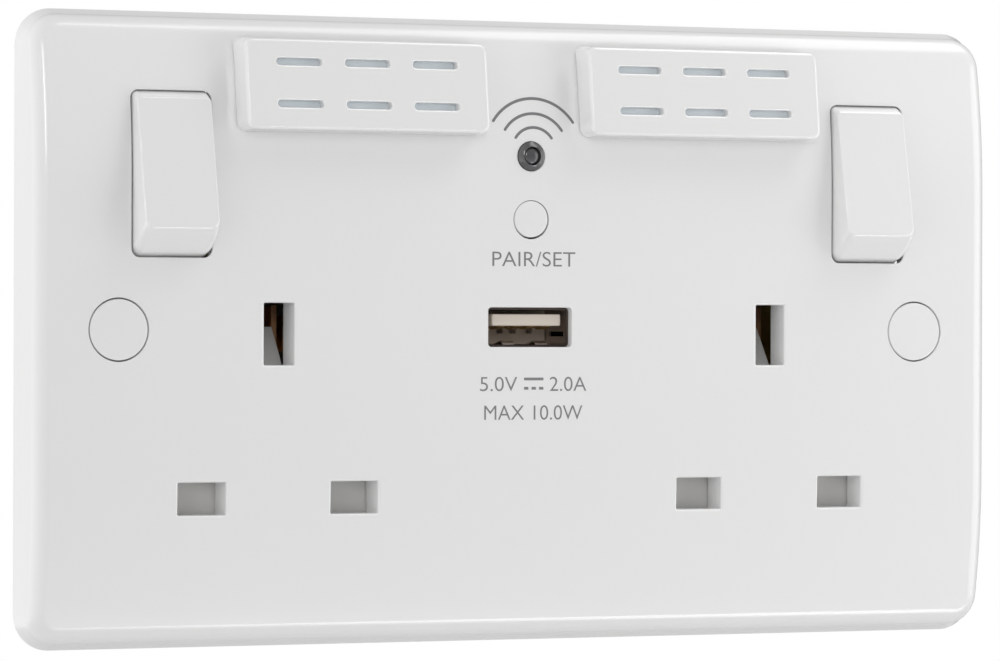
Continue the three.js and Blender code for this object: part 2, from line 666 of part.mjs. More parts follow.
for (const [name, side] of SIDES) {
  const cx = side * COVER.x;
  place(`antenna_cover_${name}`, antennaCover(cx), 'white');
  place(`slot_film_${name}`, behindCover(cx, 13.4, 29.2, 37.4, COVER.wall + 0.06, 0.25), 'film');
  const antenna = behindCover(cx, 12, 29.6, 37, COVER.wall + 0.8, 0.8);
  place(`antenna_${name}`, antenna, 'board');
}

// ---------------------------------------------------------------- indicator and button

place('led_bezel', turned([
  [LED.rim, FACE - LED.proud + 0.1], [LED.rim + 0.12, FACE - LED.proud], [LED.radius, FACE - 0.02],
  [LED.radius, -4.2], [LED.radius - 0.2, -3.4], [LED.rim, -3.4], [LED.rim, FACE - LED.proud + 0.1],
], LED.x, LED.z, 24), 'dark');

place('light_pipe', turned([
  [0, FACE - 0.32], [0.6, FACE - 0.24], [LED.lens, FACE + 0.02], [LED.lens, 0.7], [0, 0.7],
], LED.x, LED.z, 16), 'dark');

place('status_led', box(LED.x - 0.8, LED.x + 0.8, 1.1, WIFI_BOARD.y - 0.1, LED.z - 0.8, LED.z + 0.8), 'cream');

place('pairing_button', turned([
  [0, FACE + 0.02], [BUTTON.radius - 0.25, FACE + 0.02], [BUTTON.radius, FACE + 0.2],
  [BUTTON.radius, INNER + 0.3], [3.4, INNER + 0.3], [3.4, INNER + 1.1], [1.3, INNER + 1.1],
  [1.3, -0.6], [0, -0.6],
], BUTTON.x, BUTTON.z, 24), 'white');

place('tact_switch', box(BUTTON.x - 3, BUTTON.x + 3, 0.55, WIFI_BOARD.y - 0.1, BUTTON.z - 3, BUTTON.z + 3)
  .add(cylinderY(1.7, 0.1, 0.8, BUTTON.x, BUTTON.z, 20)), 'chip');

// ---------------------------------------------------------------- USB port

function usbShell() {
  const outer = roundedRect(USB.x, USB.z, USB.w, USB.h, 0.5);
  outer.holes.push(roundedRect(USB.x, USB.z, USB.w - 2 * USB.metal, USB.h - 2 * USB.metal, 0.25));
  return alongY(outer, USB.front, USB.back, 3);
}

const TONGUE = { halfW: 5.22, zLow: 0.67, zHigh: 2.3, front: FACE + 1.3, base: 1.7 };

place('usb_shell', usbShell(), 'steel');
place('usb_tongue', box(USB.x - TONGUE.halfW, USB.x + TONGUE.halfW, TONGUE.front, TONGUE.base + 0.5,
  TONGUE.zLow, TONGUE.zHigh).add(box(USB.x - 5.95, USB.x + 5.95, TONGUE.base, USB.back - 0.2,
  USB.z - 2.35, USB.z + 2.35)), 'cream');

const CONTACT_OFFSETS = [-3.5, -1.0, 1.0, 3.5];
CONTACT_OFFSETS.forEach((offset, i) => {
  const x = USB.x + offset;
  const blade = polygon([
    [-4.4, 0.56], [-3.1, 0.17], [-2.1, 0.17], [-0.9, 0.4], [TONGUE.base - 0.3, 0.4],
    [TONGUE.base - 0.3, 0.6], [-4.4, 0.6],
  ]);
  place(`usb_contact_${i + 1}`, alongX(blade, x - 0.5, x + 0.5), 'gold');
});

// ---------------------------------------------------------------- circuit boards

const boardBack = WIFI_BOARD.y + WIFI_BOARD.thick;

place('wifi_board', box(-WIFI_BOARD.halfW, WIFI_BOARD.halfW, WIFI_BOARD.y, boardBack,
  WIFI_BOARD.zLow, WIFI_BOARD.zHigh), 'board');

place('wifi_shield', box(-16, 4, boardBack + 0.1, boardBack + 2.9, 14.5, 27.5)
  .subtract(box(-15.7, 3.7, boardBack, boardBack + 2.6, 14.8, 27.2)), 'steel');

place('power_board', box(-POWER_BOARD.halfW, POWER_BOARD.halfW, POWER_BOARD.y,
  POWER_BOARD.y + POWER_BOARD.thick, POWER_BOARD.zLow, POWER_BOARD.zHigh), 'board');

place('board_header', box(9.5, 17, boardBack + 0.2, POWER_BOARD.y - 0.2, 10.8, 13.2), 'chip');

const partsTop = POWER_BOARD.y - 0.15;

place('transformer', box(-0.5, 14.5, 1.2, partsTop - 1.5, -22.5, -11.5)
  .add(box(1.3, 12.7, -1.8, partsTop, -23.6, -10.4)), 'tape');

place('bulk_capacitor', turned([
  [0, -2.6], [4.2, -2.6], [4.5, -2.3], [4.5, 7.6], [4.2, 8.1], [4.5, 8.6], [4.5, partsTop], [0, partsTop],
], -9.5, -17, 20), 'sleeve');

place('output_capacitor', turned([
  [0, 1.4], [2.4, 1.4], [2.6, 1.6], [2.6, 8.0], [2.4, 8.3], [2.6, 8.6], [2.6, partsTop], [0, partsTop],
], 14, 1.5, 16), 'sleeve');

// ---------------------------------------------------------------- rear housing

function housingShape(inset) {
  const [w, h] = [HOUSING.halfW - inset, HOUSING.halfH - inset];
  const [ww, wh] = [HOUSING.waistW - inset, HOUSING.waistH + inset];
  const r = HOUSING.corner - inset;
  const rightCorner = [0, 1, 2].map((i) => {
    const t = (Math.PI / 4) * i;
    return [w - r + r * Math.cos(t), h - r + r * Math.sin(t)];
  });
  const right = [[w, wh], ...rightCorner];
  const below = right.map(([x, z]) => [x, -z]).reverse();
  const half = [...below, [ww, -wh], [ww, wh], ...right];
  const left = half.map(([x, z]) => [-x, z]).reverse();
  return polygon([...half, ...left]);
}

// The walls reach forward into the plate, but stop short of it where rockers and shutters move.
function rearHousing() {
  let housing = alongY(housingShape(0), HOUSING.rim, HOUSING.back)
    .subtract(alongY(housingShape(HOUSING.wall), HOUSING.rim - 1, HOUSING.back - HOUSING.wall));
  for (const [, side] of SIDES) {
    const [socket, rocker] = [side * SOCKET_X, side * ROCKER.x];
    housing = housing.subtract(box(rocker - 9, rocker + 9, HOUSING.rim - 1, HOUSING.front, 7, 40));
    housing = housing.subtract(box(socket - 16.5, socket + 16.5, HOUSING.rim - 1, HOUSING.front, -40, -28));
  }
  for (const [, side] of SIDES) {
    const x = side * SOCKET_X;
    const ledge = box(x - 2.7, x + 2.7, HOUSING.front + 0.2, HOUSING.back - 1, -21, -19.5);
    housing = housing.add(ledge);
  }
  for (const [x, z] of BOSSES) {
    housing = housing.add(cylinderY(BOSS.tube, HOUSING.front, HOUSING.back, x, z));
  }
  for (const [x, z] of BOSSES) {
    housing = housing.subtract(cylinderY(BOSS.bore, BOSS.shoulder, HOUSING.back + 1, x, z));
    housing = housing.subtract(cylinderY(BOSS.hole, 0, BOSS.shoulder + 1, x, z, 16));
  }
  const gap = 0.4;
  const half = TERMINAL.size / 2 + gap;
  for (const { x, z, bay } of TERMINALS) {
    const [low, high] = bay < 0 ? [z - half - TERMINAL.bay, z + half] : [z - half, z + half + TERMINAL.bay];
    const zLow = Math.max(low, -HOUSING.halfH + HOUSING.wall);
    const zHigh = Math.min(high, HOUSING.halfH - HOUSING.wall);
    housing = housing.subtract(box(x - half, x + half, HOUSING.back - 3, HOUSING.back + 1, zLow, zHigh));
  }
  return housing;
}

place('rear_housing', rearHousing(), 'backing');

BOSSES.forEach(([x, z], i) => {
  const headFront = BOSS.shoulder + 0.2;
  const screw = turned([
    [0, INNER + 0.9], [1.1, INNER + 1.9], [1.1, headFront], [2.3, headFront], [2.3, headFront + 1.2],
    [1.6, headFront + 1.8], [0, headFront + 1.8],
  ], x, z, 14);
  const recess = crossRecess(x, headFront + 2.0, z, 1.3, 0.1);
  place(`housing_screw_${i + 1}`, screw.subtract(recess), 'steel');
});

export default object;
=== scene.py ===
import json
import math

import bmesh
import bpy
from mathutils import Matrix, Vector


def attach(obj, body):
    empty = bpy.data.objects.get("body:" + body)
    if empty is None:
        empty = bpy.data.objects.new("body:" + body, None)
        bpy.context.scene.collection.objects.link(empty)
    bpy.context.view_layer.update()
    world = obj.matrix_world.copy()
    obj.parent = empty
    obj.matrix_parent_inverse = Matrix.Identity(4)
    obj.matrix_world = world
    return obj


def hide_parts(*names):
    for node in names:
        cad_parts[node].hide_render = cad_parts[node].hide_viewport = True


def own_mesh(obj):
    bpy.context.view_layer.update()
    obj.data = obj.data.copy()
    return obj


# The looks of a double wall socket with a built-in range extender and a USB port.
# Shapes are drawn in millimetres in the CAD frame (front towards -Y) and scaled when placed.

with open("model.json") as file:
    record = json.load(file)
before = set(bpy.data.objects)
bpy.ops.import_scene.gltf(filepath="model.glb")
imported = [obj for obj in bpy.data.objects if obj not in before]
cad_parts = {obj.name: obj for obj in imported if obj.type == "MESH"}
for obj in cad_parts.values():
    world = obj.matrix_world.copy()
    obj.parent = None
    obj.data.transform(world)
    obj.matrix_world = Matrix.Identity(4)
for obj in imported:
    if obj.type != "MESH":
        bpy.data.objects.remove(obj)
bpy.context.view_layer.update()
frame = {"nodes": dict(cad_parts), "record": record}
scene = bpy.context.scene

MM = 0.001
TAU = 2 * math.pi

# ---------------------------------------------------------------- dimensions shared with the CAD

HALF_W, HALF_H, DEPTH, CORNER = 73.0, 43.0, 6.5, 5.0
FACE = -DEPTH
INNER = FACE + 2.6
FLAT_HALF, BOW, BOW_STEP = 20.0, 0.0054, 1.2
PLATE_WALL = 3.6
PAD_BACK = FACE + 4.3
SIDES = (("left", -1), ("right", 1))

FIXING_X, CAP_R, CAP_SEAT_R = 60.3, 4.1, 4.3
SOCKET_X, PIN_X = 37.24, 11.1
EARTH_Z, EARTH_W, EARTH_H = -0.53, 4.44, 8.43
SUPPLY_Z, SUPPLY_W, SUPPLY_H = -22.73, 6.92, 4.4
PIN_CORNER, PIN_ROLL = 0.2, 0.38
SPRING_Y, SPRING_LOW, SPRING_HIGH, SHUTTER_TRAVEL = 3.1, -19.2, -7.4, 6.0
RAMP_HALF = 2.35

ROCKER_X, ROCKER_Z, PIVOT_Y = 52.75, 20.75, FACE + 5.6
ROCKER_FACE, ROCKER_SWEEP, ROCKER_SKIRT = 8.13, 12.08, 1.6
ROCKER_HALF_FACE, ROCKER_HALF_BASE = 5.28, 5.58
ROCKER_LOWER_CORNER, ROCKER_UPPER_CORNER, ROCKER_EDGE = 1.3, 0.75, 0.18
SKIRT_RELIEF, RELIEF_FROM = 0.15, -3.5
ROCKER_TILT = math.radians(11.6)
FORK_NEAR, FORK_FAR, FORK_HALF, FORK_BACK = 6.1, 7.6, 2.9, 0.3
OPENING_Z, OPENING_W, OPENING_H, OPENING_CORNER, CLEAR_SWEEP = 20.92, 11.52, 22.42, 1.15, 12.7

COVER_X, COVER_HALF_W, COVER_LOW, COVER_HIGH, COVER_WALL = 25.5, 18.0, 26.85, 39.55, 1.4
COVER_FACE, COVER_FACE_Z, COVER_LEAN, COVER_RIM, LEG_X = -9.78, 30.5, 0.128, 1.9, 14.5
SLOT_W, SLOT_H, SLOT_PITCH, SLOT_ROWS = 6.65, 1.0, 10.0, (30.5, 36.2)

BUTTON_X, BUTTON_Z, BUTTON_R = 0.1, 15.41, 2.53
BUTTON_HOLE_Z, BUTTON_HOLE_R = BUTTON_Z - 0.09, 2.69
LED_X, LED_Z, LED_R, LED_HOLE_R, LED_RIM, LED_PROUD, LENS_R = 0.09, 24.1, 2.0, 2.08, 1.25, 0.45, 1.1
SMALL_ROLL = 0.1
USB_X, USB_Z, USB_W, USB_H, USB_METAL, USB_FRONT, USB_BACK = -0.03, 0.48, 12.6, 5.4, 0.25, -5.35, 9.3
TONGUE_HALF, TONGUE_LOW, TONGUE_HIGH, TONGUE_FRONT, TONGUE_BASE = 5.22, 0.67, 2.3, FACE + 1.3, 1.7
CONTACTS = (-3.5, -1.0, 1.0, 3.5)
USB_SPRING_X, USB_GAP = 2.5, 0.06

RIM_Y, SHELL_FRONT, SHELL_BACK, SHELL_WALL = -2.9, 0.8, 27.0, 1.8
SHELL_HALF_W, SHELL_HALF_H, WAIST_W, WAIST_H, SHELL_CORNER = 61.0, 31.0, 54.5, 9.5, 2.5
BOSSES = ((-42.2, 20.0), (42.2, 20.0), (-56.4, -26.4), (56.4, -26.4))
TERMINALS = (
    ("line", 28.0, 24.9, 17.8, -1), ("neutral", 6.0, -24.6, 16.1, 1),
    ("earth_left", -18.0, -0.5, 17.8, -1), ("earth_right", 18.0, -0.5, 17.8, -1),
)
TERMINAL_HALF, TERMINAL_BACK, WIRE_R, WIRE_Y, WIRE_BAY = 3.75, 26.4, 1.9, 20.6, 5.7

# ---------------------------------------------------------------- camera

CAMERA_AT = Vector((-299.885, -662.257, 1.166)) * MM
YAW, PITCH, ROLL = 0.4230870, -0.0015934, 0.0031514


def make_camera():
    forward = Vector((math.sin(YAW) * math.cos(PITCH), math.cos(YAW) * math.cos(PITCH), math.sin(PITCH)))
    level = Vector((math.cos(YAW), -math.sin(YAW), 0))
    upright = level.cross(forward)
    right = math.cos(ROLL) * level + math.sin(ROLL) * upright
    up = math.cos(ROLL) * upright - math.sin(ROLL) * level
    data = bpy.data.cameras.new("camera")
    data.lens, data.sensor_width = 188.0, 36.0
    data.clip_start, data.clip_end = 0.02, 20.0
    camera = bpy.data.objects.new("camera", data)
    scene.collection.objects.link(camera)
    turn = Matrix((right, up, -forward)).transposed().to_4x4()
    camera.matrix_world = Matrix.Translation(CAMERA_AT) @ turn
    scene.camera = camera


make_camera()

# ---------------------------------------------------------------- mesh helpers


def circle(radius, u, v, sides):
    return [(u + radius * math.cos(TAU * i / sides), v + radius * math.sin(TAU * i / sides))
            for i in range(sides)]


def outline(cx, half_w, z_low, z_high, corner, stops=(), arc=8):
    """A side-to-side symmetric rounded rectangle: up the right side, then down the left."""
    right = []
    for i in range(arc + 1):
        t = -math.pi / 2 + math.pi / 2 * i / arc
        right.append((half_w - corner + corner * math.cos(t), z_low + corner + corner * math.sin(t)))
    right += [(half_w, z) for z in stops]
    for i in range(arc + 1):
        t = math.pi / 2 * i / arc
        right.append((half_w - corner + corner * math.cos(t), z_high - corner + corner * math.sin(t)))
    left = [(-x, z) for x, z in reversed(right)]
    return [(cx + x, z) for x, z in right + left]


def loft(rings, closed=False):
    """Skins a stack of rings. The ends are closed level by level, or joined to each other."""
    count = len(rings[0])
    verts = [p for ring in rings for p in ring]
    faces = []
    spans = len(rings) if closed else len(rings) - 1
    for k in range(spans):
        for i in range(count):
            j = (i + 1) % count
            near, far = k * count, ((k + 1) % len(rings)) * count
            faces.append((near + i, near + j, far + j, far + i))
    if not closed:
        for base in (0, (len(rings) - 1) * count):
            for i in range(count // 2 - 1):
                faces.append((base + i, base + i + 1, base + count - 2 - i, base + count - 1 - i))
    return verts, faces


def lathe(profile, x, z, sides=64, closed=False):
    """Turns (radius, y) points about the Y axis through (x, z); a zero radius is one point."""
    verts, rows, faces = [], [], []
    for radius, y in profile:
        if radius < 1e-6:
            rows.append([len(verts)] * sides)
            verts.append((x, y, z))
        else:
            rows.append(list(range(len(verts), len(verts) + sides)))
            verts += [(a, y, b) for a, b in circle(radius, x, z, sides)]
    pairs = list(zip(rows, rows[1:] + rows[:1])) if closed else list(zip(rows, rows[1:]))
    for near, far in pairs:
        for i in range(sides):
            j = (i + 1) % sides
            corners = list(dict.fromkeys((near[i], near[j], far[j], far[i])))
            if len(corners) > 2:
                faces.append(tuple(corners))
    return verts, faces


def skin(verts, count):
    """Closes a stack of rings of count points each, with one flat face at either end."""
    faces = []
    for base in range(0, len(verts) - count, count):
        for i in range(count):
            j = (i + 1) % count
            faces.append((base + i, base + j, base + count + j, base + count + i))
    faces += [tuple(range(count)), tuple(range(len(verts) - count, len(verts)))]
    return verts, faces


def prism(points, low, high, place):
    """A prism over drawn (u, v) points; place(u, v, w) says where a point at depth w lies."""
    count = len(points)
    verts = [place(u, v, low) for u, v in points] + [place(u, v, high) for u, v in points]
    faces = [tuple(range(count)), tuple(range(count, 2 * count))]
    faces += [(i, (i + 1) % count, (i + 1) % count + count, i + count) for i in range(count)]
    return verts, faces


def along_x(points, low, high):
    return prism(points, low, high, lambda y, z, x: (x, y, z))


def along_y(points, low, high):
    return prism(points, low, high, lambda x, z, y: (x, y, z))


def block(x0, x1, y0, y1, z0, z1):
    return along_x([(y0, z0), (y1, z0), (y1, z1), (y0, z1)], x0, x1)


def rod_x(radius, x0, x1, y, z, sides=40):
    return along_x(circle(radius, y, z, sides), x0, x1)


def rod_y(radius, y0, y1, x, z, sides=48):
    return lathe([(0, y0), (radius, y0), (radius, y1), (0, y1)], x, z, sides)


def rod_z(radius, z0, z1, x, y, sides=40):
    return prism(circle(radius, x, y, sides), z0, z1, lambda u, v, w: (u, v, w))


def quarter(steps):
    """Angles from 0 to a right angle."""
    return [math.pi / 2 * k / steps for k in range(steps + 1)]


def mesh_of(*solids):
    """One mesh, in millimetres, with its faces turned outwards."""
    verts, faces = [], []
    for more_verts, more_faces in solids:
        base = len(verts)
        verts += more_verts
        faces += [tuple(base + i for i in face) for face in more_faces]
    mesh = bpy.data.meshes.new("work")
    mesh.from_pydata(verts, [], faces)
    work = bmesh.new()
    work.from_mesh(mesh)
    bmesh.ops.remove_doubles(work, verts=work.verts, dist=1e-5)
    bmesh.ops.dissolve_degenerate(work, edges=work.edges, dist=1e-5)
    bmesh.ops.recalc_face_normals(work, faces=work.faces)
    work.to_mesh(mesh)
    work.free()
    return mesh


def bevelled(mesh, width, segments=2, angle=40):
    """Rounds every edge that is sharper than angle, in degrees."""
    work = bmesh.new()
    work.from_mesh(mesh)
    sharp = [e for e in work.edges if e.is_manifold and abs(e.calc_face_angle(0)) > math.radians(angle)]
    bmesh.ops.bevel(work, geom=sharp, offset=width, offset_type="OFFSET", segments=segments,
                    profile=0.5, affect="EDGES", clamp_overlap=True)
    work.to_mesh(mesh)
    work.free()
    return mesh


def combine(target, tool, operation, overlapping=False):
    """target UNION or DIFFERENCE tool, as a new mesh."""
    pair = [bpy.data.objects.new("work", mesh) for mesh in (target, tool)]
    for obj in pair:
        scene.collection.objects.link(obj)
    modifier = pair[0].modifiers.new("combine", "BOOLEAN")
    modifier.operation, modifier.object, modifier.solver = operation, pair[1], "EXACT"
    modifier.use_self = overlapping
    graph = bpy.context.evaluated_depsgraph_get()
    result = bpy.data.meshes.new_from_object(pair[0].evaluated_get(graph))
    for obj in pair:
        bpy.data.objects.remove(obj)
    return result


def add(target, *solids, overlapping=False):
    return combine(target, mesh_of(*solids), "UNION", overlapping)


def cut(target, *solids, overlapping=False):
    return combine(target, mesh_of(*solids), "DIFFERENCE", overlapping)


def piece(name, mesh, body, material, replaces=(), sharp=32, weighted=True):
    """Places a finished millimetre mesh as one visible piece that rides a body."""
    mesh.transform(Matrix.Scale(MM, 4))
    mesh.name = name
    mesh.materials.clear()
    mesh.materials.append(material)
    mesh.shade_smooth()
    mesh.set_sharp_from_angle(angle=math.radians(sharp))
    obj = bpy.data.objects.new(name, mesh)
    scene.collection.objects.link(obj)
    if weighted:
        normals = obj.modifiers.new("normals", "WEIGHTED_NORMAL")
        normals.mode, normals.weight, normals.keep_sharp = "FACE_AREA", 50, True
    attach(obj, body)
    if replaces:
        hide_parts(*replaces)
    return obj


# ---------------------------------------------------------------- materials


class Look:
    """Builds one node material around a Principled shader, in object coordinates."""

    def __init__(self, name, **sockets):
        self.material = bpy.data.materials.new(name)
        self.material.use_nodes = True
        self.tree = self.material.node_tree
        self.tree.nodes.clear()
        output = self.node("ShaderNodeOutputMaterial")
        self.shader = self.node("ShaderNodeBsdfPrincipled")
        self.link(self.shader.outputs["BSDF"], output.inputs["Surface"])
        for key, value in sockets.items():
            self.shader.inputs[key.replace("_", " ")].default_value = value
        self.coords = self.node("ShaderNodeTexCoord").outputs["Object"]

    def node(self, kind, **settings):
        node = self.tree.nodes.new(kind)
        for key, value in settings.items():
            setattr(node, key, value)
        return node

    def link(self, a, b):
        self.tree.links.new(a, b)

    def stretched(self, scale):
        mapping = self.node("ShaderNodeMapping")
        mapping.inputs["Scale"].default_value = scale
        self.link(self.coords, mapping.inputs["Vector"])
        return mapping.outputs["Vector"]

    def noise(self, scale, detail=3.0, vector=None, roughness=0.5):
        noise = self.node("ShaderNodeTexNoise")
        noise.inputs["Scale"].default_value = scale
        noise.inputs["Detail"].default_value = detail
        noise.inputs["Roughness"].default_value = roughness
        self.link(vector or self.coords, noise.inputs["Vector"])
        return noise.outputs["Fac"]

    def spread(self, value, low, high, source=(0.3, 0.7)):
        ramp = self.node("ShaderNodeMapRange")
        for key, number in zip(("From Min", "From Max", "To Min", "To Max"), (*source, low, high)):
            ramp.inputs[key].default_value = number
        self.link(value, ramp.inputs["Value"])
        return ramp.outputs["Result"]

    def blend(self, factor, a, b):
        mix = self.node("ShaderNodeMix", data_type="RGBA")
        colours = [s for s in mix.inputs if s.type == "RGBA"]
        self.link(factor, mix.inputs[0])
        for socket, colour in zip(colours, (a, b)):
            if isinstance(colour, tuple):
                socket.default_value = (*colour, 1.0)
            else:
                self.link(colour, socket)
        return next(s for s in mix.outputs if s.type == "RGBA")

    def bump(self, height, strength, distance):
        bump = self.node("ShaderNodeBump")
        bump.inputs["Strength"].default_value = strength
        bump.inputs["Distance"].default_value = distance
        self.link(height, bump.inputs["Height"])
        self.link(bump.outputs["Normal"], self.shader.inputs["Normal"])

    def colour(self, socket):
        self.link(socket, self.shader.inputs["Base Color"])

    def rough(self, socket):
        self.link(socket, self.shader.inputs["Roughness"])


def shade(colour, factor):
    return tuple(min(1.0, c * factor) for c in colour)


def moulded(name, colour, rough, grain=0.15, variation=0.02, grain_scale=3000, patch=0.05, **sockets):
    """Moulded plastic: slow tone drift, flow marks, and the fine grain of the tool."""
    look = Look(name, **sockets)
    drift = look.noise(45, 2.0)
    speck = look.noise(1400, 2.0)
    toned = look.blend(look.spread(drift, 0, 1), shade(colour, 1 - variation), shade(colour, 1 + variation))
    look.colour(look.blend(look.spread(speck, 0, 0.5), toned, shade(colour, 1 - variation / 2)))
    look.rough(look.spread(look.noise(160, 4.0), rough - patch, rough + patch))
    look.bump(look.noise(grain_scale, 2.0), grain, 0.00003)
    return look.material


def plated(name, colour, rough, streak=(400, 6000, 400), variation=0.12, metallic=1.0):
    """Sheet or turned metal: drawn streaks, soft stains, uneven shine."""
    look = Look(name, Metallic=metallic)
    lines = look.noise(1.0, 3.0, look.stretched(streak))
    stain = look.noise(180, 5.0, roughness=0.6)
    toned = look.blend(look.spread(stain, 0, 1), shade(colour, 1 - variation), colour)
    look.colour(look.blend(look.spread(lines, 0, 0.35), toned, shade(colour, 1 - variation)))
    look.rough(look.spread(stain, rough - 0.08, rough + 0.1))
    look.bump(lines, 0.12, 0.00002)
    return look.material


def shell_material():
    """Dull nickel, with a painted dark reflection and shade on the front edge of the mouth."""
    look = Look("dull_nickel", Metallic=1.0)
    axes = look.node("ShaderNodeSeparateXYZ")
    look.link(look.coords, axes.inputs[0])
    # Painted dark reflection and shade: the mouth's front edge is coloured nearly black, going over to the
    # plain nickel further in.
    painted_dark_mouth = look.spread(axes.outputs["Y"], 0, 1, ((USB_FRONT + 0.06) * MM, (USB_FRONT + 0.5) * MM))
    stain = look.noise(180, 5.0, roughness=0.6)
    plate = look.blend(look.spread(stain, 0, 1), (0.50, 0.44, 0.39), (0.57, 0.50, 0.45))
    look.colour(look.blend(painted_dark_mouth, (0.11, 0.09, 0.08), plate))
    look.rough(look.spread(stain, 0.28, 0.46))
    look.bump(look.noise(1.0, 3.0, look.stretched((400, 6000, 400))), 0.12, 0.00002)
    return look.material


def board_material():
    """Solder mask over copper tracks, with a slight fibre weave."""
    look = Look("circuit_board", IOR=1.5)
    tracks = look.node("ShaderNodeTexBrick")
    tracks.inputs["Scale"].default_value = 260
    tracks.inputs["Mortar Size"].default_value = 0.03
    tracks.inputs["Color1"].default_value = (0, 0, 0, 1)
    tracks.inputs["Color2"].default_value = (0.25, 0.25, 0.25, 1)
    tracks.inputs["Mortar"].default_value = (1, 1, 1, 1)
    look.link(look.stretched((1.0, 1.0, 1.0)), tracks.inputs["Vector"])
    mask = look.blend(look.spread(look.noise(120), 0, 1), (0.012, 0.085, 0.035), (0.02, 0.12, 0.055))
    look.colour(look.blend(tracks.outputs["Fac"], mask, (0.045, 0.2, 0.08)))
    look.rough(look.spread(look.noise(500), 0.3, 0.45))
    look.bump(tracks.outputs["Fac"], 0.3, 0.00004)
    return look.material


def tape_material():
    """Layers of polyester tape, each lap showing as a fine line."""
    look = Look("winding_tape", IOR=1.55)
    laps = look.node("ShaderNodeTexWave", wave_type="BANDS", bands_direction="Y")
    laps.inputs["Scale"].default_value = 240
    laps.inputs["Distortion"].default_value = 0.6
    look.link(look.coords, laps.inputs["Vector"])
    base = look.blend(look.spread(look.noise(300), 0, 1), (0.55, 0.36, 0.06), (0.66, 0.46, 0.1))
    look.colour(look.blend(look.spread(laps.outputs["Fac"], 0, 0.4, (0.8, 1.0)), base, (0.3, 0.18, 0.03)))
    look.rough(look.spread(look.noise(900), 0.22, 0.36))
    look.bump(laps.outputs["Fac"], 0.2, 0.00004)
    return look.material


def film_material():
    """A pale translucent sheet with a fine woven scrim."""
    look = Look("slot_film", IOR=1.45)
    weave = look.node("ShaderNodeTexVoronoi", feature="F1")
    weave.inputs["Scale"].default_value = 2600
    look.link(look.coords, weave.inputs["Vector"])
    base = look.blend(look.spread(look.noise(200), 0, 1), (0.84, 0.91, 0.96), (0.89, 0.95, 0.99))
    look.colour(look.blend(look.spread(weave.outputs["Distance"], 0, 0.25, (0, 1)), base, (0.78, 0.86, 0.93)))
    look.rough(look.spread(look.noise(700), 0.35, 0.5))
    look.bump(weave.outputs["Distance"], 0.1, 0.00002)
    return look.material


def floor_material():
    """Pale matt paint with a slow drift of tone."""
    look = Look("floor_paint")
    tone = look.noise(3.0, 4.0)
    look.colour(look.blend(look.spread(tone, 0, 1), (0.80, 0.80, 0.80), (0.84, 0.84, 0.835)))
    look.rough(look.spread(look.noise(20), 0.75, 0.9))
    look.bump(look.noise(300), 0.05, 0.0002)
    return look.material


WHITE = (0.80, 0.80, 0.797)
LOOKS = {
    "white_plastic": moulded("white_plastic", WHITE, 0.19, grain=0.03, variation=0.003, patch=0.01, IOR=1.6),
    "grey_lens": moulded("grey_lens", (0.085, 0.085, 0.088), 0.2, grain=0.04, variation=0.05,
                         grain_scale=2500, Coat_Weight=0.4),
    "backing_plastic": moulded("backing_plastic", (0.70, 0.69, 0.65), 0.5, grain=0.5, variation=0.02,
                               grain_scale=1800),
    "shutter_plastic": moulded("shutter_plastic", (0.63, 0.625, 0.615), 0.42, grain=0.2, variation=0.03),
    "slot_film": film_material(),
    "circuit_board": board_material(),
    "black_plastic": moulded("black_plastic", (0.02, 0.02, 0.022), 0.45, grain=0.3, variation=0.1),
    "cream_insulator": moulded("cream_insulator", (0.62, 0.56, 0.49), 0.42, grain=0.2, variation=0.02),
    "winding_tape": tape_material(),
    "capacitor_sleeve": moulded("capacitor_sleeve", (0.02, 0.05, 0.14), 0.25, grain=0.1, variation=0.08),
    "plated_steel": plated("plated_steel", (0.62, 0.615, 0.60), 0.32),
    "brass": plated("brass", (0.62, 0.42, 0.16), 0.32, streak=(900, 900, 5000)),
    "copper": plated("copper", (0.86, 0.47, 0.26), 0.38, streak=(900, 5000, 900)),
    "gold_plate": plated("gold_plate", (0.75, 0.52, 0.2), 0.25, streak=(3000, 600, 3000)),
}
DULL_NICKEL = shell_material()
POLISHED = moulded("polished_white", WHITE, 0.12, grain=0.03, variation=0.003, patch=0.01, IOR=1.8)
INK = moulded("print_ink", (0.20, 0.20, 0.203), 0.5, grain=0.2, variation=0.08)

# ---------------------------------------------------------------- front plate

CURVE_STOPS = [s * (FLAT_HALF + BOW_STEP * k)
               for s, ks in ((-1, range(14, -1, -1)), (1, range(15))) for k in ks]


def face_drop(z):
    past = max(0.0, abs(z) - FLAT_HALF)
    return BOW * past * past


def face_y(z):
    return FACE + face_drop(z)


def level_ring(points, y_of):
    return [(x, y_of(z), z) for x, z in points]


def mouth(cx, cz, w, h, corner, across, deep, back, surface=face_y, steps=5, arc=5):
    """A cutter for a square hole whose edge rolls over into the surface around it."""
    stops = [z for z in CURVE_STOPS if abs(z - cz) < h / 2 - corner]
    rings = []
    for k, t in enumerate(quarter(steps)):
        spread = across * ((1 - math.sin(t)) if k else 1.08)
        sunk = deep * (1 - math.cos(t)) if k else -0.02
        points = outline(cx, w / 2 + spread, cz - h / 2 - spread, cz + h / 2 + spread, corner + spread,
                         stops, arc)
        rings.append(level_ring(points, lambda z, d=sunk: surface(z) + d))
    rings.append(level_ring(outline(cx, w / 2, cz - h / 2, cz + h / 2, corner, stops, arc), lambda z: back))
    return loft(rings)


def round_mouth(x, z, radius, across, deep, back, steps=5, sides=72):
    """A cutter for a round hole with a rolled edge."""
    top = face_y(z)
    profile = [(0, top - 1.0), (radius + 1.08 * across, top - 1.0), (radius + 1.08 * across, top - 0.02)]
    profile += [(radius + across * (1 - math.sin(t)), top + deep * (1 - math.cos(t)))
                for t in quarter(steps)[1:]]
    profile += [(radius, back), (0, back)]
    return lathe(profile, x, z, sides)


def plate_ring(inset, y_of):
    return level_ring(outline(0, HALF_W - inset, -HALF_H + inset, HALF_H - inset, CORNER - inset,
                              CURVE_STOPS, 12), y_of)


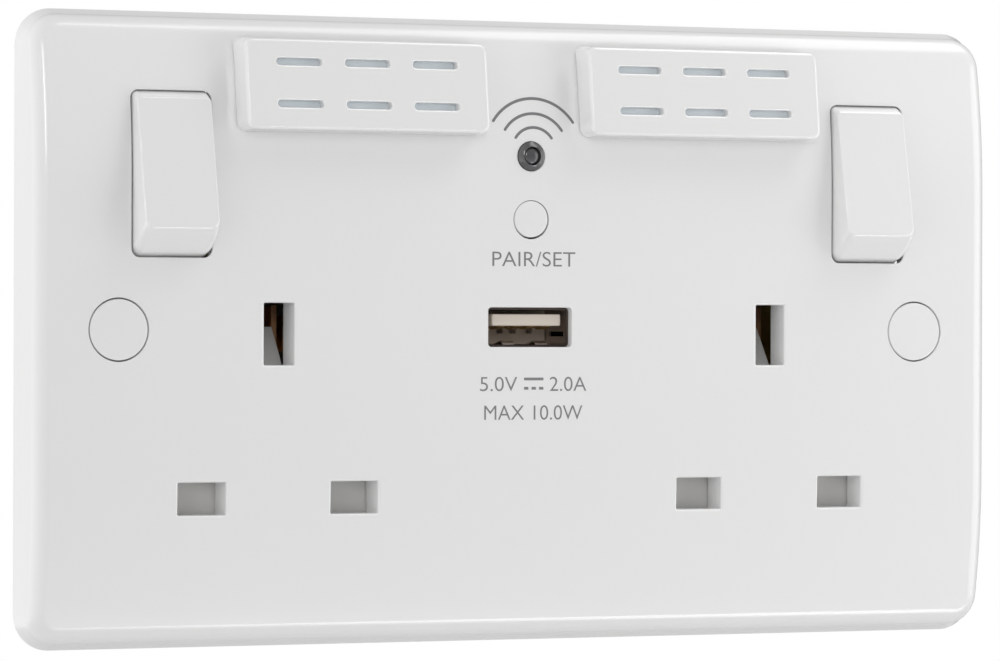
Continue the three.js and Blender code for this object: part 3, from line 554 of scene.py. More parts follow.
def rocker_fork(x0, x1):
    """One cheek with a slotted round bearing for a rocker's trunnion."""
    gap, radius = 1.25, 1.5
    meet = math.asin(gap / radius)
    arc = [meet + (TAU - 2 * meet) * k / 24 for k in range(25)]
    notch = [(PIVOT_Y + radius * math.cos(t), ROCKER_Z + radius * math.sin(t)) for t in arc]
    high, low, root = ROCKER_Z + FORK_HALF, ROCKER_Z - FORK_HALF, INNER - 0.8
    points = [(root, high), (FORK_BACK, high), (FORK_BACK, ROCKER_Z + gap), *notch,
              (FORK_BACK, ROCKER_Z - gap), (FORK_BACK, low), (root, low)]
    return along_x(points, x0, x1)


def sweep_arc(first_y):
    start = math.acos((first_y - PIVOT_Y) / CLEAR_SWEEP)
    end = math.acos((1.0 - PIVOT_Y) / CLEAR_SWEEP)
    turns = [start + (end - start) * k / 10 for k in range(11)]
    return [(PIVOT_Y + CLEAR_SWEEP * math.cos(t), CLEAR_SWEEP * math.sin(t)) for t in turns]


def rocker_sweep(x):
    """The room behind the face for a rocker's rounded ends; the face falls away at the upper one."""
    upper = [(y, ROCKER_Z + z) for y, z in sweep_arc(FACE + 0.98)]
    lower = [(y, ROCKER_Z - z) for y, z in reversed(sweep_arc(FACE + 0.3))]
    half = OPENING_W / 2 + 0.3
    return along_x(upper + lower, x - half, x + half)


def plate_mesh():
    rings = [plate_ring(0.25, lambda z: 0.0), plate_ring(0.02, lambda z: -0.25)]
    for t in quarter(10):
        inset, deep = 0.8 + 2.4 * (1 - math.cos(t)), 2.0 * (1 - math.sin(t))
        rings.append(plate_ring(inset, lambda z, d=deep: face_y(z) + d))
    hollow_points = outline(0, HALF_W - PLATE_WALL, -HALF_H + PLATE_WALL, HALF_H - PLATE_WALL, 1.6,
                            CURVE_STOPS, 5)
    hollow = loft([level_ring(hollow_points, lambda z: INNER + face_drop(z)),
                   level_ring(hollow_points, lambda z: 1.0)])
    plate = cut(mesh_of(loft(rings)), hollow)

    extra = []
    for _, side in SIDES:
        x = side * SOCKET_X
        extra.append(block(x - 16.8, x + 16.8, INNER - 1, PAD_BACK, -27.2, -18.3))
        extra.append(block(x - 4.6, x + 4.6, INNER - 1, PAD_BACK, -7.2, 6.2))
        extra.append(rod_y(5.5, INNER - 1, -0.2, side * FIXING_X, 0))
        rocker = side * ROCKER_X
        extra.append(rocker_fork(rocker + FORK_NEAR, rocker + FORK_FAR))
        extra.append(rocker_fork(rocker - FORK_FAR, rocker - FORK_NEAR))
    extra += [rod_y(2.4, INNER - 0.8, SHELL_FRONT - 0.3, x, z) for x, z in BOSSES]
    plate = add(plate, *extra, overlapping=True)

    holes, sweeps = [], []
    for _, side in SIDES:
        x = side * SOCKET_X
        holes.append(mouth(x, EARTH_Z, EARTH_W, EARTH_H, PIN_CORNER, PIN_ROLL, PIN_ROLL, PAD_BACK + 1))
        for pin in (x - PIN_X, x + PIN_X):
            holes.append(mouth(pin, SUPPLY_Z, SUPPLY_W, SUPPLY_H, PIN_CORNER, PIN_ROLL, PIN_ROLL,
                               PAD_BACK + 1))
        top = FACE - 1
        seat = FACE + 1.5
        holes.append(lathe([
            (0, top), (CAP_SEAT_R + 0.12, top), (CAP_SEAT_R + 0.12, FACE - 0.02),
            (CAP_SEAT_R + 0.03, FACE + 0.03), (CAP_SEAT_R, FACE + 0.12), (CAP_SEAT_R, seat),
            (3.65, seat), (3.65, -3.3), (2.1, -1.9), (2.1, 1), (0, 1)], side * FIXING_X, 0, 96))
        holes.append(mouth(side * ROCKER_X, OPENING_Z, OPENING_W, OPENING_H, OPENING_CORNER, 0.22, 0.22,
                           INNER + 1.6, steps=5, arc=8))
        sweeps.append(rocker_sweep(side * ROCKER_X))
        cover = side * COVER_X
        holes.append(block(cover - 6, cover + 6, FACE - 1, 1, 31, 35.4))
        holes += [block(cover + d - 1.4, cover + d + 1.4, FACE - 1, 1, 32.1, 34.3) for d in (-LEG_X, LEG_X)]
    holes += [rod_y(1.4, INNER + 0.4, SHELL_FRONT, x, z, 24) for x, z in BOSSES]
    holes.append(round_mouth(BUTTON_X, BUTTON_HOLE_Z, BUTTON_HOLE_R, SMALL_ROLL, SMALL_ROLL, 0))
    holes.append(round_mouth(LED_X, LED_Z, LED_HOLE_R, SMALL_ROLL, SMALL_ROLL, 0))
    holes.append(mouth(USB_X, USB_Z, USB_W + USB_GAP, USB_H + USB_GAP, 0.5, SMALL_ROLL, SMALL_ROLL, 0,
                       steps=4, arc=8))
    return cut(cut(plate, *sweeps), *holes)


piece("plate_moulding", plate_mesh(), "socket", LOOKS["white_plastic"], ["front_plate"])

# ---------------------------------------------------------------- fixing screws and their caps


def cap_mesh(x):
    edge = [(CAP_R - 0.2 * (1 - math.cos(t)), FACE + 0.2 * (1 - math.sin(t)) + 0.02) for t in quarter(5)]
    profile = [(0, FACE + 0.8), (2.6, FACE + 0.8), (2.6, FACE + 1.55), (3.3, FACE + 1.55),
               (3.3, FACE + 1.3), (CAP_R, FACE + 1.3), *edge, (0, FACE + 0.02)]
    return mesh_of(lathe(profile, x, 0, 96))


def thread(x, z, y0, y1, root, crest, pitch, sides=28, per_turn=8):
    """A screw thread along +Y: the radius follows the helix all the way up."""
    rows = int((y1 - y0) / pitch * per_turn)
    verts = []
    for k in range(rows + 1):
        y = y0 + (y1 - y0) * k / rows
        taper = min(1.0, (y1 - y) / (1.5 * pitch) + 0.25)
        for i in range(sides):
            phase = ((y - y0) / pitch - i / sides) % 1.0
            radius = root + (crest - root) * taper * (1 - abs(2 * phase - 1)) ** 0.8
            angle = TAU * i / sides
            verts.append((x + radius * math.cos(angle), y, z + radius * math.sin(angle)))
    return skin(verts, sides)


def cross(x, z, front, span, deep, blade=0.8):
    """A cutter for a cross-head recess."""
    half = blade / 2
    points = [(half, half), (span, half * 0.8), (span, -half * 0.8), (half, -half), (half * 0.8, -span),
              (-half * 0.8, -span), (-half, -half), (-span, -half * 0.8), (-span, half * 0.8),
              (-half, half), (-half * 0.8, span), (half * 0.8, span)]
    return along_y([(x + u, z + v) for u, v in points], front - 1, front + deep)


def fixing_screw_mesh(x):
    top, head_r, shank_r = -4.6, 3.3, 1.6
    crown = [(head_r * math.sin(t), top + 0.35 * (1 - math.cos(t))) for t in quarter(6)]
    head = lathe([*crown, (head_r, -3.7), (shank_r, -2.2), (shank_r, -1.4), (0, -1.4)], x, 0, 64)
    head = cut(mesh_of(head), cross(x, 0, top, 1.9, 1.2))
    return add(head, thread(x, 0, -1.6, 24.0, 1.32, 1.72, 0.6))


for name, side in SIDES:
    x = side * FIXING_X
    piece(f"cap_disc_{name}", cap_mesh(x), "socket", LOOKS["white_plastic"],
          [f"screw_cap_{name}"])
    piece(f"machine_screw_{name}", fixing_screw_mesh(x), "socket", LOOKS["plated_steel"],
          [f"fixing_screw_{name}"], sharp=50)

# ---------------------------------------------------------------- rocker switches


def rocker_ring(y, inset=0.0):
    """Its upper corners are tighter than its lower ones, and its skirt is relieved at both ends."""
    t = (ROCKER_FACE + y) / (ROCKER_FACE - ROCKER_SKIRT)
    half_w = ROCKER_HALF_FACE + (ROCKER_HALF_BASE - ROCKER_HALF_FACE) * min(1.0, max(0.0, t / 0.32))
    reach = ROCKER_SWEEP - (SKIRT_RELIEF if y > RELIEF_FROM else 0.0)
    half_l = math.sqrt(reach ** 2 - y ** 2)
    lower, upper = (outline(0, half_w - inset, -half_l + inset, half_l - inset, corner - inset)
                    for corner in (ROCKER_LOWER_CORNER, ROCKER_UPPER_CORNER))
    return [(x, y, z) for x, z in (b if b[1] > 0 else a for a, b in zip(lower, upper))]


def rocker_mesh(x):
    edge = ROCKER_EDGE
    depths = [-ROCKER_SKIRT - 0.55 * k for k in range(11)] + [-7.5, -7.8]
    rings = [rocker_ring(y) for y in depths if y > -ROCKER_FACE + edge]
    for t in quarter(7):
        inset = edge * (1 - math.cos(t))
        rings.append(rocker_ring(-ROCKER_FACE + edge * (1 - math.sin(t)), inset))
    body = cut(mesh_of(loft(rings)), block(-4.2, 4.2, -6.6, 0, -8.6, 8.6))
    extra = [rod_y(2.5, -7, 4.5, 0, 0)]
    for s in (-1, 1):
        extra.append(block(*sorted((s * 4.1, s * 5.4)), -4, 1.7, -2.2, 2.2))
        extra.append(rod_x(1.2, *sorted((s * 5.2, s * 7.3)), 0, 0))
    body = add(body, *extra, overlapping=True)
    body = cut(body, rod_y(1.75, -5.5, 5, 0, 0))
    body.transform(Matrix.Translation((x, PIVOT_Y, ROCKER_Z)) @ Matrix.Rotation(-ROCKER_TILT, 4, "X"))
    return body


for name, side in SIDES:
    piece(f"rocker_key_{name}", rocker_mesh(side * ROCKER_X), f"rocker_{name}", POLISHED,
          [f"rocker_{name}"])

# ---------------------------------------------------------------- antenna covers


def cover_front(z):
    return COVER_FACE + COVER_LEAN * (z - COVER_FACE_Z)


def cover_ring(cx, inset, y_of):
    points = outline(cx, COVER_HALF_W - inset, COVER_LOW + inset, COVER_HIGH - inset,
                     1.2 - inset * 0.3, [29.2 + 1.6 * k for k in range(6)], 8)
    return level_ring(points, y_of)


def cover_mesh(cx):
    def foot(z):
        return face_y(z) - 0.1

    edge = 0.5
    rings = [cover_ring(cx, 0.1, foot), cover_ring(cx, 0.0, lambda z: foot(z) - 0.15),
             cover_ring(cx, 0.06, lambda z: foot(z) - 0.7)]
    for t in quarter(7):
        inset, deep = 0.2 + edge * (1 - math.cos(t)), edge * (1 - math.sin(t))
        rings.append(cover_ring(cx, inset, lambda z, d=deep: cover_front(z) + d))
    shell = mesh_of(loft(rings))
    low, high = COVER_LOW + COVER_RIM, COVER_HIGH - COVER_RIM
    hollow = along_x([(cover_front(low) + COVER_WALL, low), (cover_front(high) + COVER_WALL, high),
                      (-2, high), (-2, low)], cx - COVER_HALF_W + COVER_RIM, cx + COVER_HALF_W - COVER_RIM)
    shell = cut(shell, hollow)
    root = cover_front(33) + 1
    leg = [(root, 33.9), (-1.9, 33.9), (-1.9, 32.3), (-2.8, 31.6), (-2.8, 32.5), (root, 32.5)]
    shell = add(shell, *(along_x(leg, cx + d - 1, cx + d + 1) for d in (-LEG_X, LEG_X)))
    slots = []
    for z in SLOT_ROWS:
        for step in (-1, 0, 1):
            slots.append(mouth(cx + step * SLOT_PITCH, z, SLOT_W, SLOT_H, SLOT_H / 2 - 0.01, 0.26, 0.22,
                               cover_front(z) + COVER_WALL + 0.8, cover_front, steps=5, arc=8))
    return cut(shell, *slots)


for name, side in SIDES:
    piece(f"aerial_cover_{name}", cover_mesh(side * COVER_X), "socket", POLISHED,
          [f"antenna_cover_{name}"])

# ---------------------------------------------------------------- indicator and button


def bezel_mesh():
    tip = FACE - LED_PROUD
    lip = [(0, 0.25), (0.01, 0.04), (0.05, 0), (0.19, 0.055), (0.34, 0.14)]
    profile = [(LED_RIM + out, tip + sunk) for out, sunk in lip]
    profile += [(LED_R - 0.12, FACE - 0.06), (LED_R, FACE + 0.04), (LED_R, -4.2), (LED_R - 0.2, -3.4),
                (LED_RIM, -3.4)]
    return mesh_of(lathe(profile, LED_X, LED_Z, 72, closed=True))


def lens_mesh():
    dome = [(LENS_R * math.sin(t), FACE - 0.3 + 0.3 * (1 - math.cos(t))) for t in quarter(8)]
    return mesh_of(lathe([*dome, (LENS_R, 0.7), (0, 0.7)], LED_X, LED_Z, 64))


def button_mesh():
    edge = [(BUTTON_R - 0.22 * (1 - math.cos(t)), FACE + 0.03 + 0.22 * (1 - math.sin(t)))
            for t in quarter(5)]
    profile = [(0, -0.6), (1.3, -0.6), (1.3, INNER + 1.1), (3.4, INNER + 1.1), (3.4, INNER + 0.3),
               (BUTTON_R, INNER + 0.3), *edge, (0, FACE + 0.03)]
    return mesh_of(lathe(profile, BUTTON_X, BUTTON_Z, 96))


piece("indicator_ring", bezel_mesh(), "socket", LOOKS["grey_lens"], ["led_bezel"])
piece("indicator_lens", lens_mesh(), "socket", LOOKS["grey_lens"], ["light_pipe"])
piece("pairing_key", button_mesh(), "pairing_button", LOOKS["white_plastic"],
      ["pairing_button"])

# ---------------------------------------------------------------- USB port


def usb_ring(half_w, half_h, corner, y):
    points = outline(USB_X, half_w, USB_Z - half_h, USB_Z + half_h, corner, (), 6)
    return [(x, y, z) for x, z in points]


def usb_shell_mesh():
    """A folded shell with side latches and two sprung windows in its floor."""
    w, h, m = USB_W / 2, USB_H / 2, USB_METAL
    edge = 0.05
    turn = [(0.0, edge), (edge * 0.3, edge * 0.3), (edge, 0.0)]
    levels = [(0.0, USB_BACK), *((inset, USB_FRONT + y) for inset, y in turn),
              *((m - inset, USB_FRONT + y) for inset, y in reversed(turn)), (m, USB_BACK)]
    rings = [usb_ring(w - inset, h - inset, 0.6 - inset, y) for inset, y in levels]
    shell = mesh_of(loft(rings, closed=True))
    windows = []
    for s in (-1, 1):
        windows.append(block(*sorted((USB_X + s * (w - 1), USB_X + s * (w + 1))), -4.3, 0.3, -0.8, -0.1))
        spring_x = USB_X + s * USB_SPRING_X
        windows.append(block(spring_x - 1.15, spring_x + 1.15, -4.9, -0.6, USB_Z - h - 1, USB_Z - h + 1))
    shell = cut(shell, *windows)
    springs = []
    floor = USB_Z - h
    bend = [(-0.4, 0.02), (-1.2, 0.05), (-2.6, 0.38), (-3.6, 0.62), (-4.1, 0.6), (-4.7, 0.25)]
    back = [(y, floor + z + 0.22) for y, z in reversed(bend)]
    for s in (-1, 1):
        spring_x = USB_X + s * USB_SPRING_X
        points = [(y, floor + z) for y, z in bend] + back
        springs.append(along_x(points, spring_x - 0.9, spring_x + 0.9))
    return add(shell, *springs)


def tongue_mesh():
    blade = bevelled(mesh_of(block(USB_X - TONGUE_HALF, USB_X + TONGUE_HALF, TONGUE_FRONT, TONGUE_BASE + 0.5,
                                   TONGUE_LOW, TONGUE_HIGH)), 0.22, 3)
    root = add(blade, block(USB_X - 5.95, USB_X + 5.95, TONGUE_BASE, USB_BACK - 0.2,
                            USB_Z - 2.35, USB_Z + 2.35))
    return cut(root, *(block(USB_X + d - 0.5, USB_X + d + 0.5, TONGUE_BASE - 0.2, TONGUE_BASE + 1.8,
                             -0.4, 0.37) for d in CONTACTS))


def contact_mesh(x):
    base = TONGUE_BASE - 0.3
    points = [(-4.4, 0.56), (-3.1, 0.17), (-2.1, 0.17), (-0.9, 0.4), (base, 0.4), (base, 0.6), (-4.4, 0.6)]
    return bevelled(mesh_of(along_x(points, x - 0.5, x + 0.5)), 0.04, 1)


piece("usb_can", usb_shell_mesh(), "socket", DULL_NICKEL, ["usb_shell"])
piece("usb_insulator", tongue_mesh(), "socket", LOOKS["cream_insulator"], ["usb_tongue"])
for number, offset in enumerate(CONTACTS, 1):
    piece(f"usb_blade_{number}", contact_mesh(USB_X + offset), "socket", LOOKS["gold_plate"],
          [f"usb_contact_{number}"])

# ---------------------------------------------------------------- safety shutters


def shutter_mesh(x):
    """A cross blade over the supply apertures, a stem, the earth pin's ramp, and the spring's lug."""
    front, back = PAD_BACK + 0.25, -0.2
    parts = [
        bevelled(mesh_of(block(x - 15.2, x + 15.2, front, back, -25.9, -19.6)), 0.25),
        bevelled(mesh_of(block(x - 3, x + 3, front, back, -20, -5.6)), 0.15),
        bevelled(mesh_of(along_x([(front, -5.7), (front, -4.9), (-1.5, -4.7), (2.4, 0.5), (2.4, -5.7)],
                                 x - RAMP_HALF, x + RAMP_HALF)), 0.12),
        bevelled(mesh_of(block(x - 2.7, x + 2.7, back - 0.5, 5.3, -7.2, -5.6)), 0.15),
    ]
    whole = parts[0]
    for part in parts[1:]:
        whole = combine(whole, part, "UNION")
    return whole


def coil_mesh(x, y, low, high, radius=1.6, wire=0.28, turns=7, steps=28, sides=10):
    """A round-wire spring along +Z. Its end turns lie almost flat."""
    verts = []
    count = turns * steps
    rise = high - low - 2 * wire
    for k in range(count + 1):
        t, angle = k / count, TAU * k / steps
        out = Vector((math.cos(angle), math.sin(angle), 0))
        slope = 6 * t * (1 - t) * rise / turns / TAU
        along = Vector((-radius * math.sin(angle), radius * math.cos(angle), slope)).normalized()
        up = out.cross(along)
        centre = Vector((x, y, low + wire + rise * t * t * (3 - 2 * t))) + out * radius
        verts += [tuple(centre + out * a + up * b) for a, b in circle(wire, 0, 0, sides)]
    return mesh_of(skin(verts, sides))


for name, side in SIDES:
    socket_x = side * SOCKET_X
    piece(f"shutter_slide_{name}", shutter_mesh(socket_x), f"shutter_{name}",
          LOOKS["shutter_plastic"], [f"shutter_{name}"])
    coil = piece(f"shutter_coil_{name}", coil_mesh(socket_x, SPRING_Y, SPRING_LOW, SPRING_HIGH),
                 f"shutter_{name}", LOOKS["plated_steel"], [f"shutter_spring_{name}"],
                 weighted=False)
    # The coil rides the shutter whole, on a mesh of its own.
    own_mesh(coil)

# ---------------------------------------------------------------- terminals


def terminal_mesh(x, z, front):
    half = TERMINAL_HALF
    body = bevelled(mesh_of(block(x - half, x + half, front, TERMINAL_BACK, z - half, z + half)), 0.35, 3)
    body = cut(body, rod_z(WIRE_R, z - half - 1, z + half + 1, x, WIRE_Y))
    mouth_cut = lathe([(0, WIRE_Y), (2.05, WIRE_Y), (2.05, TERMINAL_BACK - 0.3), (2.4, TERMINAL_BACK + 0.05),
                       (2.4, TERMINAL_BACK + 1), (0, TERMINAL_BACK + 1)], x, z, 48)
    return cut(body, mouth_cut)


def terminal_screw_mesh(x, z):
    top = TERMINAL_BACK - 0.2
    crown = [(1.5 * math.cos(t), top - 0.2 + 0.2 * math.sin(t)) for t in quarter(4)]
    head = lathe([(0, top - 1.8), (1.8, top - 1.8), (1.8, top - 0.45), (1.5, top - 0.2), *crown[1:-1],
                  (0, top)], x, z, 48)
    head = cut(mesh_of(head), block(x - 0.35, x + 0.35, top - 1.0, top + 1, z - 3, z + 3))
    return add(head, thread(x, z, WIRE_Y + 1, top - 1.6, 1.5, 1.82, 0.7))


for name, x, z, front in (t[:4] for t in TERMINALS):
    piece(f"clamp_block_{name}", terminal_mesh(x, z, front), "socket", LOOKS["brass"],
          [f"terminal_{name}"])
    piece(f"clamp_screw_{name}", terminal_screw_mesh(x, z), "socket", LOOKS["plated_steel"],
          [f"terminal_screw_{name}"], sharp=50)

# ---------------------------------------------------------------- rear housing


def housing_outline(inset):
    w, h, ww, wh = SHELL_HALF_W - inset, SHELL_HALF_H - inset, WAIST_W - inset, WAIST_H + inset
    r = max(0.4, SHELL_CORNER - inset)
    corner = [(w - r + r * math.cos(t), h - r + r * math.sin(t)) for t in quarter(6)]
    upper = [(ww, wh), (w, wh), *corner]
    right = [(x, -z) for x, z in reversed(upper)] + upper
    return right + [(-x, z) for x, z in reversed(right)]


def housing_prism(levels):
    """Skins the waisted outline through (inset, y) levels."""
    rings = [[(x, y, z) for x, z in housing_outline(inset)] for inset, y in levels]
    return skin([p for ring in rings for p in ring], len(rings[0]))


def window(x, z, bay, grow=0.0):
    """The opening over a terminal and its wire bay, as x0, x1, z0, z1."""
    half = TERMINAL_HALF + 0.4
    low, high = (z - half - WIRE_BAY, z + half) if bay < 0 else (z - half, z + half + WIRE_BAY)
    limit = SHELL_HALF_H - SHELL_WALL
    return x - half - grow, x + half + grow, max(low, -limit) - grow, min(high, limit) + grow


def housing_mesh():
    levels = [(0.0, RIM_Y), (0.0, SHELL_BACK - 1.0)]
    levels += [(1.0 * (1 - math.cos(t)), SHELL_BACK - 1.0 + 1.0 * math.sin(t)) for t in quarter(5)[1:]]
    housing = cut(mesh_of(housing_prism(levels)),
                  housing_prism([(SHELL_WALL, RIM_Y - 1), (SHELL_WALL, SHELL_BACK - SHELL_WALL)]))
    clear = []
    for _, side in SIDES:
        socket, rocker = side * SOCKET_X, side * ROCKER_X
        clear.append(block(rocker - 9, rocker + 9, RIM_Y - 1, SHELL_FRONT, 7, 40))
        clear.append(block(socket - 16.5, socket + 16.5, RIM_Y - 1, SHELL_FRONT, -40, -28))
    housing = cut(housing, *clear)
    seat = SPRING_LOW - 0.3
    extra = [block(s * SOCKET_X - 2.7, s * SOCKET_X + 2.7, SHELL_FRONT + 0.2, SHELL_BACK - 1, -21, seat)
             for _, s in SIDES]
    extra += [rod_y(3.4, SHELL_FRONT, SHELL_BACK - 0.5, x, z) for x, z in BOSSES]
    for _, x, z, _, bay in TERMINALS:
        x0, x1, z0, z1 = window(x, z, bay, 1.0)
        extra.append(block(x0, x1, SHELL_BACK - 0.5, SHELL_BACK + 0.5, z0, z1))
    housing = add(housing, *extra, overlapping=True)
    holes = []
    for x, z in BOSSES:
        holes.append(lathe([(0, 0), (1.5, 0), (1.5, 8), (2.7, 8), (2.7, SHELL_BACK - 0.3),
                            (3.0, SHELL_BACK + 0.05), (3.0, SHELL_BACK + 1), (0, SHELL_BACK + 1)], x, z, 48))
    for _, x, z, _, bay in TERMINALS:
        x0, x1, z0, z1 = window(x, z, bay)
        holes.append(block(x0, x1, SHELL_BACK - 3, SHELL_BACK + 1, z0, z1))
    return cut(housing, *holes)


def housing_screw_mesh(x, z):
    head = 8.2
    crown = [(2.3 * math.cos(t), head + 1.0 + 0.8 * math.sin(t)) for t in quarter(5)]
    body = lathe([(0, head), (2.3, head), *crown[:-1], (0, head + 1.8)], x, z, 48)
    body = cut(mesh_of(body), cross(x, z, head + 2.2, 1.3, 0.8, 0.6))
    return add(body, thread(x, z, INNER + 1.0, head + 0.2, 0.9, 1.15, 0.8, 20, 6))


piece("back_housing", housing_mesh(), "socket", LOOKS["backing_plastic"],
      ["rear_housing"])
for number, (x, z) in enumerate(BOSSES, 1):
    piece(f"case_screw_{number}", housing_screw_mesh(x, z), "socket", LOOKS["plated_steel"],
          [f"housing_screw_{number}"], sharp=50)

# ---------------------------------------------------------------- printed marks

PRINT_GAP, PRINT_THICK = 0.004, 0.014
PRINT_X = 0.5
ARC_Z, ARC_RADII, ARC_HALF_ANGLE, ARC_HALF = 24.8, (3.28, 5.2, 7.3), math.radians(55.8), 0.2
SYMBOL_LEFT, SYMBOL_RIGHT, DASH, DASH_PITCH = -0.95, 2.0, 0.66, 1.14
RATING_LOW, RATING_HIGH, RATING_W = -8.34, -6.37, 5.6


def ribbon(path, half_widths):
    """A thin film along (x, z) points on the face, with a half width at each point."""
    left, right = [], []
    for k, (x, z) in enumerate(path):
        before, after = path[max(0, k - 1)], path[min(len(path) - 1, k + 1)]
        along = Vector((after[0] - before[0], after[1] - before[1])).normalized()
        w = half_widths[k]
        left.append((x - along.y * w, z + along.x * w))
        right.append((x + along.y * w, z - along.x * w))
    rows = [[(x, face_y(z) - lift, z) for x, z in side]
            for side, lift in ((left, PRINT_GAP), (left, PRINT_THICK),
                               (right, PRINT_THICK), (right, PRINT_GAP))]
    count = len(path)
    verts = [p for row in rows for p in row]
    faces = []
    for r in range(4):
        s = (r + 1) % 4
        faces += [(r * count + k, r * count + k + 1, s * count + k + 1, s * count + k)
                  for k in range(count - 1)]
    faces += [tuple(r * count for r in range(4)), tuple(r * count + count - 1 for r in range(4))]
    return verts, faces


def arc_mark(cx, cz, radius, spread, half):
    """A round-ended arc that opens upwards."""
    cap = half / radius
    ends = [cap * (1 - math.cos(t)) for t in quarter(5)]
    steps = 36
    angles = [-spread - cap + e for e in ends]
    widths = [half * math.sin(t) for t in quarter(5)]
    angles += [-spread + 2 * spread * k / steps for k in range(1, steps)]
    widths += [half] * (steps - 1)
    angles += [spread + cap - e for e in reversed(ends)]
    widths += [half * math.sin(t) for t in reversed(quarter(5))]
    widths = [max(w, 0.004) for w in widths]
    return ribbon([(cx + radius * math.sin(a), cz + radius * math.cos(a)) for a in angles], widths)


def bar_mark(x0, x1, z0, z1):
    return ribbon([(x0, (z0 + z1) / 2), (x1, (z0 + z1) / 2)], [(z1 - z0) / 2] * 2)


def words(text, centre_x, low, high, width, thin=-0.006):
    """Plain lettering as a thin film: its capitals fill the height, its line the width."""
    curve = bpy.data.curves.new("words", "FONT")
    curve.body, curve.size, curve.resolution_u, curve.offset = text, 1.0, 6, thin
    work = bpy.data.objects.new("words", curve)
    scene.collection.objects.link(work)
    graph = bpy.context.evaluated_depsgraph_get()
    mesh = bpy.data.meshes.new_from_object(work.evaluated_get(graph))
    bpy.data.objects.remove(work)
    xs = [v.co.x for v in mesh.vertices]
    ys = [v.co.y for v in mesh.vertices]
    sx, sy = width / (max(xs) - min(xs)), (high - low) / (max(ys) - min(ys))
    shift = centre_x - width / 2 - min(xs) * sx
    for v in mesh.vertices:
        v.co = Vector((v.co.x * sx + shift, 0, (v.co.y - min(ys)) * sy + low))
    sheet = bmesh.new()
    sheet.from_mesh(mesh)
    bmesh.ops.remove_doubles(sheet, verts=sheet.verts, dist=1e-4)
    top = bmesh.ops.extrude_face_region(sheet, geom=list(sheet.faces))
    lifted = [g for g in top["geom"] if isinstance(g, bmesh.types.BMVert)]
    for v in sheet.verts:
        v.co.y = face_y(v.co.z) - PRINT_GAP
    for v in lifted:
        v.co.y = face_y(v.co.z) - PRINT_THICK
    bmesh.ops.recalc_face_normals(sheet, faces=sheet.faces)
    sheet.to_mesh(mesh)
    sheet.free()
    return mesh


arcs = [arc_mark(PRINT_X, ARC_Z, radius, ARC_HALF_ANGLE, ARC_HALF) for radius in ARC_RADII]
dashes = [SYMBOL_LEFT + DASH_PITCH * k for k in range(3)]
symbol = [bar_mark(SYMBOL_LEFT, SYMBOL_RIGHT, -6.85, -6.47)]
symbol += [bar_mark(start, start + DASH, -8.14, -7.76) for start in dashes]
for name, make in (
        ("signal_arcs", lambda: mesh_of(*arcs)),
        ("button_label", lambda: words("PAIR/SET", PRINT_X, 8.87, 10.9, 12.6)),
        ("rating_symbol", lambda: mesh_of(*symbol)),
        ("rating_volts", lambda: words("5.0V", -4.8, RATING_LOW, RATING_HIGH, RATING_W)),
        ("rating_amps", lambda: words("2.0A", 5.75, RATING_LOW, RATING_HIGH, RATING_W)),
        ("rating_watts", lambda: words("MAX 10.0W", PRINT_X, -12.3, -10.3, 14.9))):
    piece(f"print_{name}", make(), "socket", INK, weighted=False)

# ---------------------------------------------------------------- the CAD nodes that stay

SLOT_OF = {part["node"]: part["material_slot"] for part in frame["record"]["subparts"]}
for node, obj in frame["nodes"].items():
    if obj.hide_render:
        continue
    for holder in obj.material_slots:
        holder.material = LOOKS[SLOT_OF[node]]

# ---------------------------------------------------------------- floor and light


FLOOR_R, FLOOR_Z = 1200, -700.0


def make_floor():
    verts = [(x * MM, y * MM, FLOOR_Z * MM) for x, y in circle(FLOOR_R, 0, 0, 96)]
    mesh = bpy.data.meshes.new("floor")
    mesh.from_pydata(verts, [], [tuple(range(len(verts)))])
    mesh.materials.append(floor_material())
    floor = bpy.data.objects.new("floor", mesh)
    scene.collection.objects.link(floor)


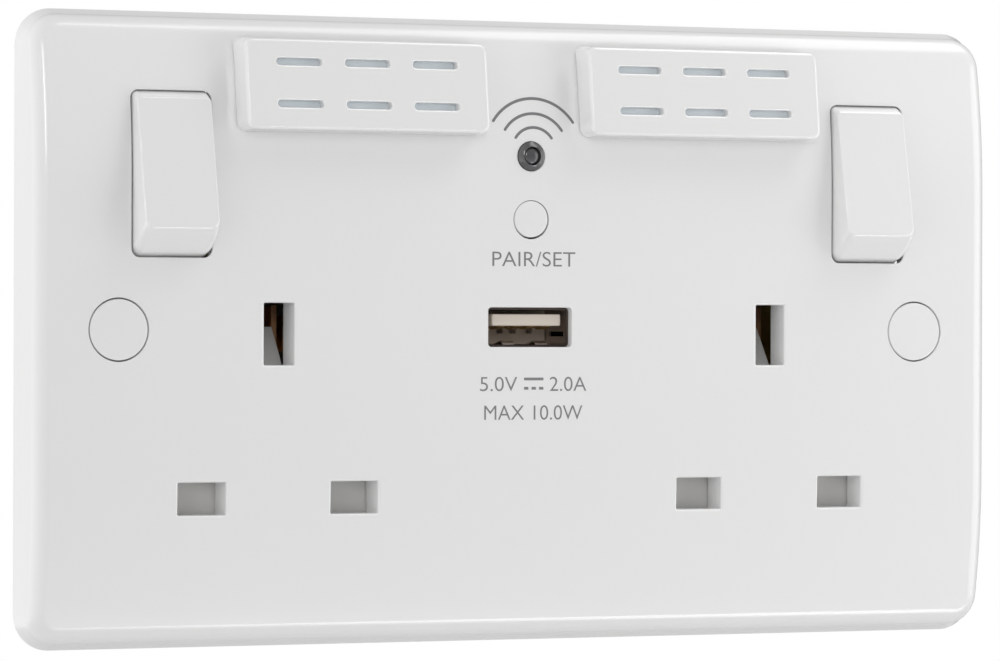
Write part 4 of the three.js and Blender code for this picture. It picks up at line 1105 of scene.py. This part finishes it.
def make_world(above, below, left):
    """White to look at; what it lights with grows upwards, downwards and to the left."""
    world = bpy.data.worlds.new("studio")
    world.use_nodes = True
    tree = world.node_tree
    tree.nodes.clear()
    output = tree.nodes.new("ShaderNodeOutputWorld")
    mix = tree.nodes.new("ShaderNodeMixShader")
    path = tree.nodes.new("ShaderNodeLightPath")
    axes = tree.nodes.new("ShaderNodeSeparateXYZ")
    tree.links.new(tree.nodes.new("ShaderNodeTexCoord").outputs["Generated"], axes.inputs[0])
    seen, lit = (tree.nodes.new("ShaderNodeBackground") for _ in range(2))
    for background in (seen, lit):
        background.inputs["Color"].default_value = (1, 1, 1, 1)
    total = None
    for axis, reach, strength in (("Z", 1, above), ("Z", -1, below), ("X", -1, left)):
        ramp = tree.nodes.new("ShaderNodeMapRange")
        for key, number in (("From Min", 0.0), ("From Max", reach), ("To Min", 0.0), ("To Max", strength)):
            ramp.inputs[key].default_value = number
        tree.links.new(axes.outputs[axis], ramp.inputs["Value"])
        if total is None:
            total = ramp.outputs["Result"]
            continue
        joined = tree.nodes.new("ShaderNodeMath")
        tree.links.new(total, joined.inputs[0])
        tree.links.new(ramp.outputs["Result"], joined.inputs[1])
        total = joined.outputs[0]
    tree.links.new(total, lit.inputs["Strength"])
    tree.links.new(path.outputs["Is Camera Ray"], mix.inputs[0])
    tree.links.new(lit.outputs[0], mix.inputs[1])
    tree.links.new(seen.outputs[0], mix.inputs[2])
    tree.links.new(mix.outputs[0], output.inputs["Surface"])
    scene.world = world


def soft_light(name, at, size, power):
    """A rectangular light at a point in metres, facing the middle of the plate."""
    data = bpy.data.lights.new(name, "AREA")
    data.shape, data.size, data.size_y, data.energy = "RECTANGLE", size[0], size[1], power
    light = bpy.data.objects.new(name, data)
    scene.collection.objects.link(light)
    aim = -Vector(at)
    light.matrix_world = Matrix.Translation(at) @ aim.to_track_quat("-Z", "Y").to_matrix().to_4x4()


make_floor()
make_world(above=0.45, below=1.9, left=1.2)
soft_light("side", (0.45, -0.25, 0.0), (0.4, 0.4), 0.95)
soft_light("top", (0.28, -0.15, 0.44), (0.4, 0.3), 1.05)
soft_light("front", (-0.24, -0.7, 0.22), (0.06, 0.26), 0.65)
soft_light("low", (0.45, -0.58, -0.52), (0.54, 0.12), 1.15)
scene.view_settings.view_transform = "Standard"
